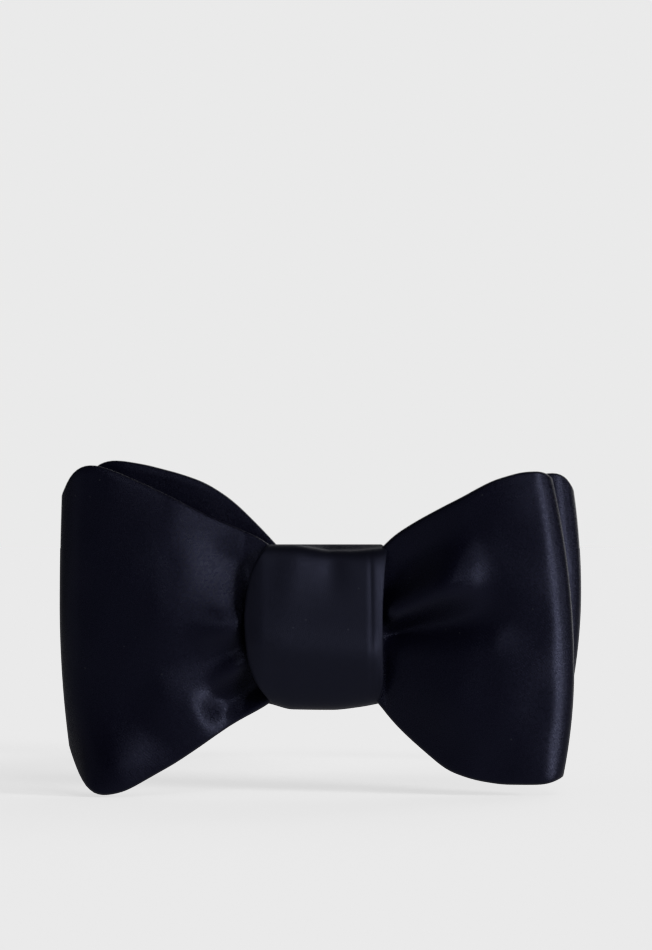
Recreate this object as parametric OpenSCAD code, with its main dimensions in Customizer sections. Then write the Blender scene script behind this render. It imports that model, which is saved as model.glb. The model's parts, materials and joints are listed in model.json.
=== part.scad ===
// Ready-tied bow tie on an adjustable neckband that closes with a hook.
// +X is the viewer's right, -Y comes out of the bow's front, +Z is up.
// The origin is the centre of the neck opening, at the neckband's mid height.

/* [Neck opening and strap] */
// Radius of the neck opening
neck_r = 58.5; // [50:0.5:72]
// Height of the neckband strap
strap_h = 19; // [15:0.5:23]
// Thickness of the neckband strap
strap_t = 1.2; // [1.1:0.1:1.6]
// Thickness of the stiffener inside the strap
strap_lining_t = 0.3; // [0.2:0.05:0.4]

/* [Bows] */
// Middle of the knot to the front bow's left fold
front_left = 58.5; // [48:0.5:72]
// Middle of the knot to the front bow's right fold
front_right = 59.5; // [48:0.5:72]
// Middle of the knot to the rear bow's left fold
rear_left = 54.5; // [46:0.5:72]
// Middle of the knot to the rear bow's right fold
rear_right = 61.5; // [48:0.5:74]
// Half of the bows' height, at the tallest corner
wing_half_h = 39.4; // [32:0.2:48]
// Half of the ribbons' height where the knot pinches them
waist_half_h = 15.5; // [12:0.5:17]
// Thickness of a bow ribbon
ribbon_t = 1.6; // [1.4:0.1:2]
// Thickness of the stiffener inside a bow ribbon
ribbon_lining_t = 0.5; // [0.3:0.1:0.6]
// How far the front wings swell forward of the waist
front_swell = 4; // [2:0.5:7]
// How far the rear wings swell back from the waist
rear_swell = 4.5; // [2:0.5:6]
// Length of the rounded outer fold of a wing
fold_l = 4; // [3:0.5:6]

/* [Knot] */
// Width of the knot
knot_w = 32; // [26:0.5:38]
// Thickness of the knot wrap
wrap_t = 1.2; // [1.1:0.1:1.6]
// Thickness of the stiffener inside the knot wrap
wrap_lining_t = 0.3; // [0.2:0.05:0.4]
// How far the knot's front swells forward
knot_swell = 1.2; // [0.5:0.1:3]
// Diameter of the thread that binds the waist
thread_d = 0.8; // [0.5:0.1:1]
// Turns of thread round the waist
thread_turns = 7; // [3:1:9]

/* [Metal fittings] */
// Diameter of the eye loop's wire
wire_d = 2.2; // [1.6:0.1:2.4]
// Length of the eye loop between its two upright bars
eye_l = 9; // [8:0.5:12]
// Thickness of the hook's plate
hook_t = 1; // [0.8:0.1:1.2]
// Length of the hook, from its strap bar to its claw
hook_l = 14.5; // [13:0.5:18]
// Height of the hook's claw
claw_h = 9; // [6:0.5:12]
// Thickness of the slider's bars and rails
slider_t = 0.8; // [0.7:0.1:1]
// Width of a slider bar
slider_bar_w = 1.6; // [1.2:0.1:2]
// Middle of the slider to an outer bar
slider_reach = 6; // [5:0.5:8]
// Place of the slider round the neck, in degrees from +X
slider_at = 45; // [40:1:50]
// Length of the strap end that is sewn back at a fitting
tail_l = 10; // [8:0.5:12]

/* [Fits] */
// Room between soft layers and what moves past them
ease = 0.3; // [0.2:0.05:0.5]
// Room between the layers of ribbon at the waist
layer_gap = 0.4; // [0.3:0.05:0.6]
// Room between a bar and the strap folded round it
bar_gap = 0.15; // [0.1:0.05:0.2]

/* [Hidden] */
$fn = 48;

satin = [0.035, 0.035, 0.06];
canvas = [0.75, 0.72, 0.66];
sewing = [0.05, 0.05, 0.08];
nickel = [0.75, 0.75, 0.77];

// Waist stack, as distances in front of the neck opening's centre
wrap_back = neck_r + 0.1;
band_in = wrap_back + wrap_t + ease;
band_mid = band_in + strap_t / 2;
stack_half = (4 * ribbon_t + 3 * layer_gap) / 2;
bind_room_y = 0.6;
bind_room_z = 1;
wrap_room_z = 1.2;
bind_half_y = stack_half + bind_room_y;
bind_half_z = waist_half_h + bind_room_z;
stack_y = -(band_in + strap_t + ease + thread_d + bind_half_y);
layer_step = ribbon_t + layer_gap;
wrap_front_in = -stack_y + bind_half_y + thread_d + ease;
wrap_half_y = (wrap_front_in + wrap_t - wrap_back) / 2;
wrap_mid_y = -(wrap_back + wrap_half_y);
wrap_half_z = bind_half_z + thread_d + wrap_room_z + wrap_t;
squareness = 8;
knot_edge = knot_w / 2 + ease;

// Wing outlines from the knot's edge (0) to the outer fold (1): each row is a place along the wing, then
// the top and the bottom edge as shares of the way from the waist's height to the wing's full height
front_left_edge = [[0, 0, 0], [0.03, 0.22, 0.18], [0.22, 0.41, 0.47], [0.42, 0.6, 0.68],
                   [0.63, 0.79, 0.88], [0.77, 0.88, 0.98], [0.87, 0.93, 1], [0.96, 0.9, 0.86],
                   [1, 0.72, 0.5]];
front_right_edge = [[0, 0, 0], [0.03, 0.2, 0.22], [0.11, 0.29, 0.4], [0.24, 0.43, 0.64], [0.36, 0.55, 0.8],
                    [0.49, 0.66, 0.86], [0.65, 0.79, 0.9], [0.81, 0.86, 0.9], [0.95, 0.85, 0.88],
                    [1, 0.74, 0.76]];
rear_left_edge = [[0, 0, 0], [0.03, 0.36, 0.08], [0.12, 0.64, 0.28], [0.34, 0.84, 0.5],
                  [0.56, 0.94, 0.66], [0.76, 0.98, 0.74], [0.87, 0.98, 0.76], [0.96, 0.86, 0.7],
                  [1, 0.6, 0.5]];
rear_right_edge = [[0, 0, 0], [0.03, 0.18, 0.12], [0.11, 0.28, 0.3], [0.28, 0.44, 0.5], [0.5, 0.64, 0.66],
                   [0.7, 0.8, 0.74], [0.86, 0.88, 0.76], [0.95, 0.86, 0.7], [1, 0.7, 0.5]];
// How far the outer folds lean in at a wing's full height, and the height where a fold reaches furthest out
left_lean = 1.5;
right_lean = 5;
front_reach_z = -5;
rear_reach_z = 8;

// Ring sector between two angles, from one radius to another, centred on height 0
module arc_strip(r_in, r_out, h, a0, a1) {
    rotate([0, 0, a0])
        rotate_extrude(angle = a1 - a0, $fn = 180)
            translate([r_in, -h / 2]) square([r_out - r_in, h]);
}

function step_to(a, b, i, n) = a + (b - a) * i / n;
function smooth(u) = let (v = max(0, min(1, u))) v * v * (3 - 2 * v);
function normal_at(path, i) =
    let (a = path[max(i - 1, 0)], b = path[min(i + 1, len(path) - 1)], d = (b - a) / norm(b - a))
    [d[1], -d[0]];
// Outline of a flat path given a thickness
function thick_line(path, t) = concat(
    [for (i = [0 : len(path) - 1]) path[i] + normal_at(path, i) * t / 2],
    [for (i = [len(path) - 1 : -1 : 0]) path[i] - normal_at(path, i) * t / 2]);

// ---- Bows ----

// Plan of one looped ribbon, from the middle of its back, round the right fold, across the front
// and round the left fold to the middle of its back again
along = 14;
round_fold = 6;
seam_half = 0.6;
function wing_share(x, reach) = (abs(x) - knot_edge) / (reach - knot_edge);
function layer_y(x, reach, y, swell) = y + swell * smooth(wing_share(x, reach) * 2);
function spread(i) = pow(max(0, i - 1) / (along - 1), 1.5);
function leg(x0, x1, reach, y, swell) =
    let (edge = sign(x1) * knot_edge)
    [for (i = [0 : along])
        let (x = i == 0 ? x0 : step_to(edge, x1, spread(i), 1)) [x, layer_y(x, reach, y, swell)]];
function back(path) = [for (i = [len(path) - 1 : -1 : 0]) path[i]];
function fold(x, side, y0, y1) =
    [for (i = [1 : round_fold - 1])
        let (a = 180 * i / round_fold)
        [x + side * fold_l * sin(a), (y0 + y1) / 2 + (y0 - y1) / 2 * cos(a)]];
function loop_plan(left, right, front_y, back_y, front_out, back_out) =
    let (xr = right - fold_l, xl = -(left - fold_l), yf = front_y - front_out, yb = back_y + back_out)
    concat(leg(seam_half, xr, right, back_y, back_out), fold(xr, 1, yb, yf),
           back(leg(seam_half, xr, right, front_y, -front_out)),
           leg(-seam_half, xl, left, front_y, -front_out), fold(xl, -1, yf, yb),
           back(leg(-seam_half, xl, left, back_y, back_out)));

// Height of a ribbon's edge at a place across the bow; column 1 is the top and 2 the bottom
function edge_share(table, u, column) = lookup(u, [for (row = table) [row[0], row[column]]]);
function edge_h(x, left, right, left_edge, right_edge, column) =
    let (u = wing_share(x, x < 0 ? left : right), table = x < 0 ? left_edge : right_edge)
    waist_half_h + (wing_half_h - waist_half_h) * edge_share(table, u, column);
function lean(x, z, sizes) =
    let (u = max(0, wing_share(x, x < 0 ? sizes[0] : sizes[1])),
         k = u * u * pow((z - sizes[4]) / wing_half_h, 2))
    x < 0 ? left_lean * k : -right_lean * k;

levels = 6;
// Points of a tube of upright rectangles along a plan, with a given thickness and inset edges
function tube_points(plan, t, inset, sizes) =
    [for (i = [0 : len(plan) - 1])
        let (p = plan[i], n = normal_at(plan, i),
             top = edge_h(p[0], sizes[0], sizes[1], sizes[2], sizes[3], 1) - inset,
             low = -edge_h(p[0], sizes[0], sizes[1], sizes[2], sizes[3], 2) + inset)
        for (side = [1, -1], k = [0 : levels - 1])
            let (z = side > 0 ? step_to(low, top, k, levels - 1) : step_to(top, low, k, levels - 1))
            [p[0] + side * n[0] * t / 2 + lean(p[0], z, sizes), p[1] + side * n[1] * t / 2, z]];
function tube_faces(stations, ring, first, flip) =
    [for (i = [0 : stations - 2], j = [0 : ring - 1], half = [0, 1])
        let (a = first + i * ring + j, b = first + i * ring + (j + 1) % ring, c = b + ring, d = a + ring,
             face = half == 0 ? [a, b, c] : [a, c, d])
        flip ? [face[2], face[1], face[0]] : face];
function end_ring(ring, outer, inner, flip) =
    [for (j = [0 : ring - 1], half = [0, 1])
        let (k = (j + 1) % ring, a = outer + j, b = outer + k, c = inner + k, d = inner + j,
             face = half == 0 ? [a, c, b] : [a, d, c])
        flip ? [face[2], face[1], face[0]] : face];

function end_cap(ring, first, flip) =
    [for (j = [0 : ring / 2 - 2], half = [0, 1])
        let (a = first + j, b = a + 1, c = first + ring - 2 - j, d = c + 1,
             face = half == 0 ? [b, a, d] : [b, d, c])
        flip ? [face[2], face[1], face[0]] : face];

// A ribbon sewn as a sleeve: open at its two ends, which meet in the middle of the back
module sleeve(plan, t, room, inset, sizes) {
    ring = 2 * levels;
    n = len(plan);
    polyhedron(
        concat(tube_points(plan, t, 0, sizes), tube_points(plan, room, inset, sizes)),
        concat(tube_faces(n, ring, 0, false), tube_faces(n, ring, n * ring, true),
               end_ring(ring, 0, n * ring, false),
               end_ring(ring, (n - 1) * ring, (2 * n - 1) * ring, true)),
        convexity = 10);
}
module strip(plan, t, inset, sizes) {
    ring = 2 * levels;
    n = len(plan);
    polyhedron(
        tube_points(plan, t, inset, sizes),
        concat(tube_faces(n, ring, 0, false), end_cap(ring, 0, false), end_cap(ring, (n - 1) * ring, true)),
        convexity = 10);
}

lining_room = 0.2;
hem = 0.6;
lining_inset = 1.2;
front_sizes = [front_left, front_right, front_left_edge, front_right_edge, front_reach_z];
rear_sizes = [rear_left, rear_right, rear_left_edge, rear_right_edge, rear_reach_z];
front_plan = loop_plan(front_left, front_right, stack_y - 1.5 * layer_step, stack_y - 0.5 * layer_step,
                       front_swell, 0);
rear_plan = loop_plan(rear_left, rear_right, stack_y + 0.5 * layer_step, stack_y + 1.5 * layer_step,
                      0, rear_swell);

module front_bow() {
    color(satin) sleeve(front_plan, ribbon_t, ribbon_lining_t + 2 * lining_room, hem, front_sizes);
}
module front_bow_interlining() {
    color(canvas) strip(front_plan, ribbon_lining_t, lining_inset, front_sizes);
}
module rear_bow() {
    color(satin) sleeve(rear_plan, ribbon_t, ribbon_lining_t + 2 * lining_room, hem, rear_sizes);
}
module rear_bow_interlining() {
    color(canvas) strip(rear_plan, ribbon_lining_t, lining_inset, rear_sizes);
}

// ---- Knot ----

function squircle(a, half_y, half_z, swell) =
    let (c = cos(a), s = sin(a), q = pow(pow(abs(c), squareness) + pow(abs(s), squareness), 1 / squareness),
         y = half_y * c / q, z = half_z * s / q)
    [y - (c < 0 ? swell * (1 - pow(z / half_z, 2)) : 0), z];
// Side view of the wrap's middle line, as Y and Z, from the seam at its back over the top and round
// underneath to the seam again
wrap_seam = 1.5;
wrap_path = [for (i = [0 : 72])
    let (a = step_to(wrap_seam, 360 - wrap_seam, i, 72))
    squircle(a, wrap_half_y - wrap_t / 2, wrap_half_z - wrap_t / 2, knot_swell)];
module side_extrude(w) {
    rotate([90, 0, 90]) translate([0, 0, -w / 2]) linear_extrude(w) children();
}
wrap_hem = 0.8;
lining_end_gap = 0.5;
module knot_wrap() {
    color(satin) translate([0, wrap_mid_y, 0]) difference() {
        side_extrude(knot_w) polygon(thick_line(wrap_path, wrap_t));
        side_extrude(knot_w - 2 * wrap_hem) polygon(thick_line(wrap_path, wrap_lining_t + 2 * lining_room));
    }
}
module knot_interlining() {
    color(canvas) translate([0, wrap_mid_y, 0])
        side_extrude(knot_w - 2 * (wrap_hem + lining_end_gap)) polygon(thick_line(wrap_path, wrap_lining_t));
}

module waist_binding() {
    pitch = thread_d * 1.4;
    corners = 48;
    function ring(room) = [for (i = [0 : corners - 1])
        squircle(360 * (i + 0.5) / corners, bind_half_y + room, bind_half_z + room, 0)];
    color(sewing) for (k = [0 : thread_turns - 1])
        translate([(k - (thread_turns - 1) / 2) * pitch, stack_y, 0]) difference() {
            side_extrude(thread_d) polygon(ring(thread_d));
            side_extrude(thread_d + 1) polygon(ring(0));
        }
}

// Short stitches across the seam where the wrap's two ends meet, half sunk in the cloth
stitches = 6;
stitch_d = 0.4;
stitch_l = 3;
stitch_edge = 3;
stitch_sunk = 0.05;
module knot_stitches() {
    pitch = (knot_w - 2 * stitch_edge) / (stitches - 1);
    color(sewing) for (k = [0 : stitches - 1])
        translate([(k - (stitches - 1) / 2) * pitch, -wrap_back - stitch_sunk, 0])
            cylinder(d = stitch_d, h = stitch_l, center = true, $fn = 16);
}

// ---- Neckband ----

strap_mid_r = band_in + strap_t / 2;
neck_mid_r = neck_r + strap_t / 2;
// The strap runs flat behind the knot, then bends in to the round a short way past each end of it
flat_half = knot_w / 2 + 2;
bend_run = 2.5;
left_bend = -90 - asin((flat_half + bend_run) / neck_mid_r);
right_bend = -90 + asin((flat_half + bend_run) / strap_mid_r);
function polar(r, a) = [r * cos(a), r * sin(a)];

// Three layers pass the slider's rear bar: the main strap, the sewn-back tail and the return layer
strap_out_r = strap_mid_r + strap_t / 2;
slider_fold_in = slider_t * sqrt(0.5) + bar_gap;
slider_fold_out = slider_fold_in + strap_t;
return_in = strap_out_r + bar_gap + strap_t + 2 * slider_fold_in;

// Clasp at the middle of the back: the eye loop lies across the Y axis
wire_r = wire_d / 2;
fold_in = (return_in - strap_out_r) / 2;
eye_r = strap_out_r + fold_in;
eye_past = 1.5;
eye_x = eye_l - eye_past;
eye_y = sqrt(eye_r * eye_r - eye_x * eye_x);
eye_a = atan2(eye_y, eye_x);

// Hook: its plate lies outside the eye's free bar
hook_y = eye_y + wire_r + ease + hook_t / 2;
claw_gap = 1;
claw_x = eye_x - eye_l + wire_r + claw_gap;
bar_x = claw_x + hook_t - hook_l;
hook_fold_in = hook_t * sqrt(0.5) + bar_gap;
hook_fold_out = hook_fold_in + strap_t;
bar_r = norm([bar_x, hook_y]);
bar_a = atan2(hook_y, bar_x);
// Where the straight hook end leaves the round of the neck
flex_a = bar_a + acos((neck_r + hook_fold_out) / bar_r);
flex_l = (neck_r + hook_fold_out) * tan(flex_a - bar_a);
flex_gap = 0.3;

// Plan of the strap's middle line: round the left side from the flex point, flat behind the knot, round
// the right side, then if asked a half turn round the eye's strap bar. The left side's inner face starts
// a hair inside the neck radius and is bored to it.
bore_stock = 0.05;
arc_steps = 44;
lining_side_gap = 0.6;
lining_a_gap = 1;
function strap_plan(start_a, end_a, turn) = concat(
    [for (i = [0 : arc_steps])
        polar(neck_mid_r - bore_stock, step_to(start_a, 360 + left_bend, i, arc_steps))],
    [[-flat_half, -band_mid], [flat_half, -band_mid]],
    [for (i = [0 : arc_steps]) polar(strap_mid_r, step_to(right_bend, end_a, i, arc_steps))],
    [for (i = [1 : 12]) if (turn)
        let (a = eye_a + 180 - 15 * i) polar(eye_r, eye_a) + polar(eye_r - strap_mid_r, a)]);
module strap_shape(t, h, start_a, end_a, turn) {
    translate([0, 0, -h / 2]) linear_extrude(h) polygon(thick_line(strap_plan(start_a, end_a, turn), t));
}
module neckband() {
    color(satin) difference() {
        strap_shape(strap_t, strap_h, flex_a, eye_a, true);
        strap_shape(strap_lining_t + 2 * lining_room, strap_h - 2 * hem, flex_a - 1, eye_a - 1, false);
        cylinder(r = neck_r, h = strap_h + 2, center = true, $fn = 180);
    }
}
module neckband_interlining() {
    color(canvas)
        strap_shape(strap_lining_t, strap_h - 2 * hem - lining_side_gap, flex_a + lining_a_gap,
                    eye_a - 2 * lining_a_gap, false);
}

// Return layer: from the eye's fold back to the slider's rear bar, round it, and a sewn-down tail
rear_bar_r = return_in - slider_fold_in;
reach_a = slider_reach / strap_mid_r * 180 / PI;
rear_bar_a = slider_at + reach_a - (slider_bar_w - slider_t) / 2 / strap_mid_r * 180 / PI;
tail_a = tail_l / strap_mid_r * 180 / PI;
joint_a = bar_gap / strap_mid_r * 180 / PI;
module neckband_return() {
    color(satin) union() {
        arc_strip(return_in, return_in + strap_t, strap_h, rear_bar_a, eye_a - joint_a);
        arc_strip(rear_bar_r - slider_fold_out, rear_bar_r - slider_fold_in, strap_h, rear_bar_a,
                  rear_bar_a + tail_a);
        intersection() {
            rotate([0, 0, rear_bar_a]) translate([rear_bar_r, 0, -strap_h / 2]) difference() {
                cylinder(r = slider_fold_out, h = strap_h);
                translate([0, 0, -1]) cylinder(r = slider_fold_in, h = strap_h + 2);
            }
            rotate([0, 0, rear_bar_a]) translate([rear_bar_r - 5, -10, -strap_h]) cube([10, 10, 2 * strap_h]);
        }
    }
}

// Straight, flexible end of the strap that carries the hook
module at_flex() {
    rotate([0, 0, flex_a - 90]) translate([0, neck_r, 0]) children();
}
module neckband_hook_end() {
    color(satin) at_flex() union() {
        translate([flex_gap, 0, -strap_h / 2]) cube([flex_l - flex_gap, strap_t, strap_h]);
        translate([flex_l - tail_l, 2 * hook_fold_in + strap_t, -strap_h / 2]) cube([tail_l, strap_t, strap_h]);
        intersection() {
            translate([flex_l, hook_fold_out, -strap_h / 2]) difference() {
                cylinder(r = hook_fold_out, h = strap_h);
                translate([0, 0, -1]) cylinder(r = hook_fold_in, h = strap_h + 2);
            }
            translate([flex_l, -1, -strap_h]) cube([5, 10, 2 * strap_h]);
        }
    }
}

// ---- Metal fittings ----

rail_gap = 0.4;
rail_w = 1.4;
under_gap = 0.2;
rail_mid = strap_h / 2 + rail_gap + rail_w / 2;
// One curved frame with a window, and a centre bar that is set in under the strap on two legs
module slider() {
    bar_a = slider_bar_w / strap_mid_r * 180 / PI;
    top_r = rear_bar_r + slider_t / 2;
    low_r = strap_mid_r - strap_t / 2 - under_gap - slider_t;
    half_h = rail_mid + rail_w / 2;
    leg_in = rail_mid - rail_w / 4;
    leg_out = rail_mid + rail_w / 4;
    color(nickel) rotate([0, 0, slider_at]) union() {
        difference() {
            arc_strip(top_r - slider_t, top_r, 2 * half_h, -reach_a - bar_a / 2, reach_a + bar_a / 2);
            arc_strip(top_r - 2 * slider_t, top_r + slider_t, 2 * half_h - 2 * rail_w, -reach_a + bar_a / 2,
                      reach_a - bar_a / 2);
        }
        rotate([0, 0, -bar_a / 2]) rotate_extrude(angle = bar_a, $fn = 180)
            polygon([[low_r, -leg_out], [top_r - slider_t / 2, -leg_out], [top_r - slider_t / 2, -leg_in],
                     [low_r + slider_t, -leg_in], [low_r + slider_t, leg_in], [top_r - slider_t / 2, leg_in],
                     [top_r - slider_t / 2, leg_out], [low_r, leg_out]]);
    }
}
eye_room = 0.5;
eye_half_h = strap_h / 2 + eye_room + wire_r;
module eye_loop() {
    color(nickel) translate([eye_x, eye_y, 0]) union() {
        for (x = [0, -eye_l]) {
            translate([x, 0, 0]) cylinder(r = wire_r, h = 2 * eye_half_h, center = true);
            for (s = [-1, 1]) translate([x, 0, s * eye_half_h]) sphere(r = wire_r);
        }
        for (s = [-1, 1]) translate([-eye_l / 2, 0, s * eye_half_h]) rotate([0, 90, 0])
            cylinder(r = wire_r, h = eye_l, center = true);
    }
}
hook_rail_w = 1.6;
hook_half_h = strap_h / 2 + rail_gap + hook_rail_w;
hook_slot_l = hook_fold_out + rail_gap - hook_t / 2;
hook_neck_w = 1.8;
claw_drop = wire_d + claw_gap;
claw_plate_l = 3;
module hook() {
    plate_l = hook_l - hook_t / 2;
    shoulder = hook_t / 2 + hook_slot_l + hook_neck_w;
    color(nickel) translate([bar_x, hook_y, 0]) union() {
        difference() {
            translate([0, hook_t / 2, 0]) rotate([90, 0, 0]) linear_extrude(hook_t)
                polygon([[-hook_t / 2, -hook_half_h], [shoulder - 1, -hook_half_h], [shoulder, -hook_half_h + 1.5],
                         [plate_l - claw_plate_l, -claw_h / 2], [plate_l, -claw_h / 2], [plate_l, claw_h / 2],
                         [plate_l - claw_plate_l, claw_h / 2], [shoulder, hook_half_h - 1.5], [shoulder - 1, hook_half_h],
                         [-hook_t / 2, hook_half_h]]);
            translate([hook_t / 2, -hook_t, -strap_h / 2 - rail_gap])
                cube([hook_slot_l, 2 * hook_t, strap_h + 2 * rail_gap]);
        }
        translate([plate_l - hook_t, -hook_t / 2 - claw_drop, -claw_h / 2 + 1])
            cube([hook_t, claw_drop + hook_t / 2, claw_h - 2]);
    }
}

// ---- Sewing at the fittings ----

tack_w = 0.6;
tack_t = 0.3;
tack_pitch = 1.2;
tack_h = strap_h - 4;
rows = 5;
// Upright rows of bartack thread standing a little proud of the outer layer
module slider_bartack() {
    top = return_in + strap_t;
    step_a = tack_pitch / strap_mid_r * 180 / PI;
    tack_a = tack_w / strap_mid_r * 180 / PI;
    color(sewing) for (k = [0 : rows - 1])
        rotate([0, 0, rear_bar_a + tail_a / 2 + (k - (rows - 1) / 2) * step_a])
            arc_strip(top, top + tack_t, tack_h, -tack_a / 2, tack_a / 2);
}
module hook_bartack() {
    color(sewing) at_flex() for (k = [0 : rows - 1])
        translate([flex_l - tail_l / 2 + (k - (rows - 1) / 2) * tack_pitch - tack_w / 2,
                   2 * hook_fold_in + 2 * strap_t, -tack_h / 2])
            cube([tack_w, tack_t, tack_h]);
}

front_bow();
front_bow_interlining();
rear_bow();
rear_bow_interlining();
knot_wrap();
knot_interlining();
waist_binding();
knot_stitches();
neckband();
neckband_interlining();
neckband_return();
neckband_hook_end();
slider();
slider_bartack();
eye_loop();
hook();
hook_bartack();
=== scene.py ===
"""Ready-tied satin bow tie on an adjustable neckband, dressed round its CAD frame.

Sizes in this file are millimetres, and meshes are made in metres in the frame's own axes:
+X is the viewer's right, -Y comes out of the bow's front and +Z is up.
"""
import json
import logging
import math
from dataclasses import dataclass, field
from enum import Enum
from typing import ClassVar

import bmesh
import bpy
import numpy as np
from mathutils import Matrix, Vector


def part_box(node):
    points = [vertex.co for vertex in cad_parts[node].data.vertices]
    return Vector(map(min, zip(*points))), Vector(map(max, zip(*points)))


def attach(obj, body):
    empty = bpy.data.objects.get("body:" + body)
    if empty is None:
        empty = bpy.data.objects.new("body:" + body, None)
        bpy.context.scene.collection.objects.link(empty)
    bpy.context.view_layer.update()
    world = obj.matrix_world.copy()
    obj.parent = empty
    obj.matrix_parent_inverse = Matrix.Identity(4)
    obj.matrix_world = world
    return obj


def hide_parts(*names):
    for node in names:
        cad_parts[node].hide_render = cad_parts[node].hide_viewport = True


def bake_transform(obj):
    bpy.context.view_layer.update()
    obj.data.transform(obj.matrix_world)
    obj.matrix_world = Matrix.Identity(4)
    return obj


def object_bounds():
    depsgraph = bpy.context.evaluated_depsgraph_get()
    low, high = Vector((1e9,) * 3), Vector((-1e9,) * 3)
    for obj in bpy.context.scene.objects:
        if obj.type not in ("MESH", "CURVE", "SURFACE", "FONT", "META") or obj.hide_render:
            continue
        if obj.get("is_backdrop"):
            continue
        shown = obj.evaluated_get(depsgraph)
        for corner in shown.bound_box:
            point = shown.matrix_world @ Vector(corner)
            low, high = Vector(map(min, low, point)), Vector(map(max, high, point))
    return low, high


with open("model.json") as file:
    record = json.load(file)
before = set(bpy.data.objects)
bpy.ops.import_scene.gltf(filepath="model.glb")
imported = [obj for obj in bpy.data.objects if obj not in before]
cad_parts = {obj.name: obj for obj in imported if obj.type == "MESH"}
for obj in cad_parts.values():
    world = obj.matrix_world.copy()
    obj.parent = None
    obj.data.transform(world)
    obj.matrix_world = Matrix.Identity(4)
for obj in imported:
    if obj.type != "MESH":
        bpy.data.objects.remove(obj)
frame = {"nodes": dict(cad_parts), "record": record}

MM = 0.001
log = logging.getLogger("bow_tie")


# ---------------------------------------------------------------- small maths

def smooth(t: np.ndarray) -> np.ndarray:
    """Return the smooth step of t, held between 0 and 1."""
    t = np.clip(t, 0.0, 1.0)
    return t * t * (3 - 2 * t)


def unit(v: np.ndarray) -> np.ndarray:
    """Return vectors along the last axis scaled to length 1."""
    return v / np.maximum(np.linalg.norm(v, axis=-1, keepdims=True), 1e-12)


def polar(radius: float, degrees: float) -> np.ndarray:
    """Return the plan point at a radius and an angle from +X."""
    return radius * np.array([math.cos(math.radians(degrees)), math.sin(math.radians(degrees))])


def arc(centre: np.ndarray, radius: float, start: float, end: float, count: int) -> np.ndarray:
    """Return plan points along an arc.

    Args:
        centre: the arc's centre.
        radius: its radius.
        start: first angle in degrees.
        end: last angle in degrees.
        count: how many points.

    Returns:
        An array of count points.
    """
    turn = np.radians(np.linspace(start, end, count))
    return np.asarray(centre) + radius * np.stack([np.cos(turn), np.sin(turn)], axis=1)


def spline(points: list[tuple[float, float]], at: np.ndarray) -> np.ndarray:
    """Return a smooth curve through points, without overshoot, read at given places.

    Args:
        points: (place, value) pairs with rising places.
        at: the places to read.

    Returns:
        The values there.
    """
    x, y = np.array(points, float).T
    slope = np.diff(y) / np.diff(x)
    m = np.concatenate([[slope[0]], np.where(slope[1:] * slope[:-1] > 0,
                        2 * slope[1:] * slope[:-1] / (slope[1:] + slope[:-1] + 1e-12), 0), [slope[-1]]])
    at = np.clip(at, x[0], x[-1])
    i = np.clip(np.searchsorted(x, at, side="right") - 1, 0, len(x) - 2)
    h = x[i + 1] - x[i]
    t = (at - x[i]) / h
    return ((1 + 2 * t) * (1 - t) ** 2 * y[i] + t * (1 - t) ** 2 * h * m[i]
            + t * t * (3 - 2 * t) * y[i + 1] + t * t * (t - 1) * h * m[i + 1])


@dataclass(frozen=True)
class Box:
    """A CAD node's box, in millimetres."""

    low: np.ndarray
    high: np.ndarray

    @staticmethod
    def of(node: str) -> "Box":
        """Return the box of a CAD node."""
        low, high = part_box(node)
        return Box(np.array(low) / MM, np.array(high) / MM)

    @property
    def middle(self) -> np.ndarray:
        """Return the box's centre."""
        return (self.low + self.high) / 2


# ---------------------------------------------------------------- node trees

class Signal:
    """One output socket, with arithmetic that adds Math nodes."""

    def __init__(self, graph: "Graph", socket: bpy.types.NodeSocket) -> None:
        """Keep the socket and the graph that it belongs to."""
        self.graph = graph
        self.socket = socket

    def _math(self, operation: str, *values: object) -> "Signal":
        """Return the result of a new Math node.

        Args:
            operation: the Math node's operation.
            values: its inputs, in order, as signals or numbers.

        Returns:
            The node's output.
        """
        node = self.graph.add("ShaderNodeMath", {"operation": operation}, dict(enumerate(values)))
        return Signal(self.graph, node.outputs[0])

    def __add__(self, other: object) -> "Signal":
        """Return self + other."""
        return self._math("ADD", self, other)

    __radd__ = __add__

    def __sub__(self, other: object) -> "Signal":
        """Return self - other."""
        return self._math("SUBTRACT", self, other)

    def __rsub__(self, other: object) -> "Signal":
        """Return other - self."""
        return self._math("SUBTRACT", other, self)

    def __mul__(self, other: object) -> "Signal":
        """Return self * other."""
        return self._math("MULTIPLY", self, other)

    __rmul__ = __mul__

    def __truediv__(self, other: object) -> "Signal":
        """Return self / other."""
        return self._math("DIVIDE", self, other)

    def __rtruediv__(self, other: object) -> "Signal":
        """Return other / self."""
        return self._math("DIVIDE", other, self)

    def __pow__(self, other: object) -> "Signal":
        """Return self to a power."""
        return self._math("POWER", self, other)

    def sine(self) -> "Signal":
        """Return the sine."""
        return self._math("SINE", self)

    def cosine(self) -> "Signal":
        """Return the cosine."""
        return self._math("COSINE", self)

    def size(self) -> "Signal":
        """Return the absolute value."""
        return self._math("ABSOLUTE", self)

    def over(self, limit: object) -> "Signal":
        """Return 1 where self is greater than the limit."""
        return self._math("GREATER_THAN", self, limit)

    def ramp(self, low: float, high: float) -> "Signal":
        """Return 0 at low rising smoothly to 1 at high."""
        node = self.graph.add("ShaderNodeMapRange", {"interpolation_type": "SMOOTHSTEP"},
                              {"Value": self, "From Min": low, "From Max": high})
        return Signal(self.graph, node.outputs["Result"])


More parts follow.
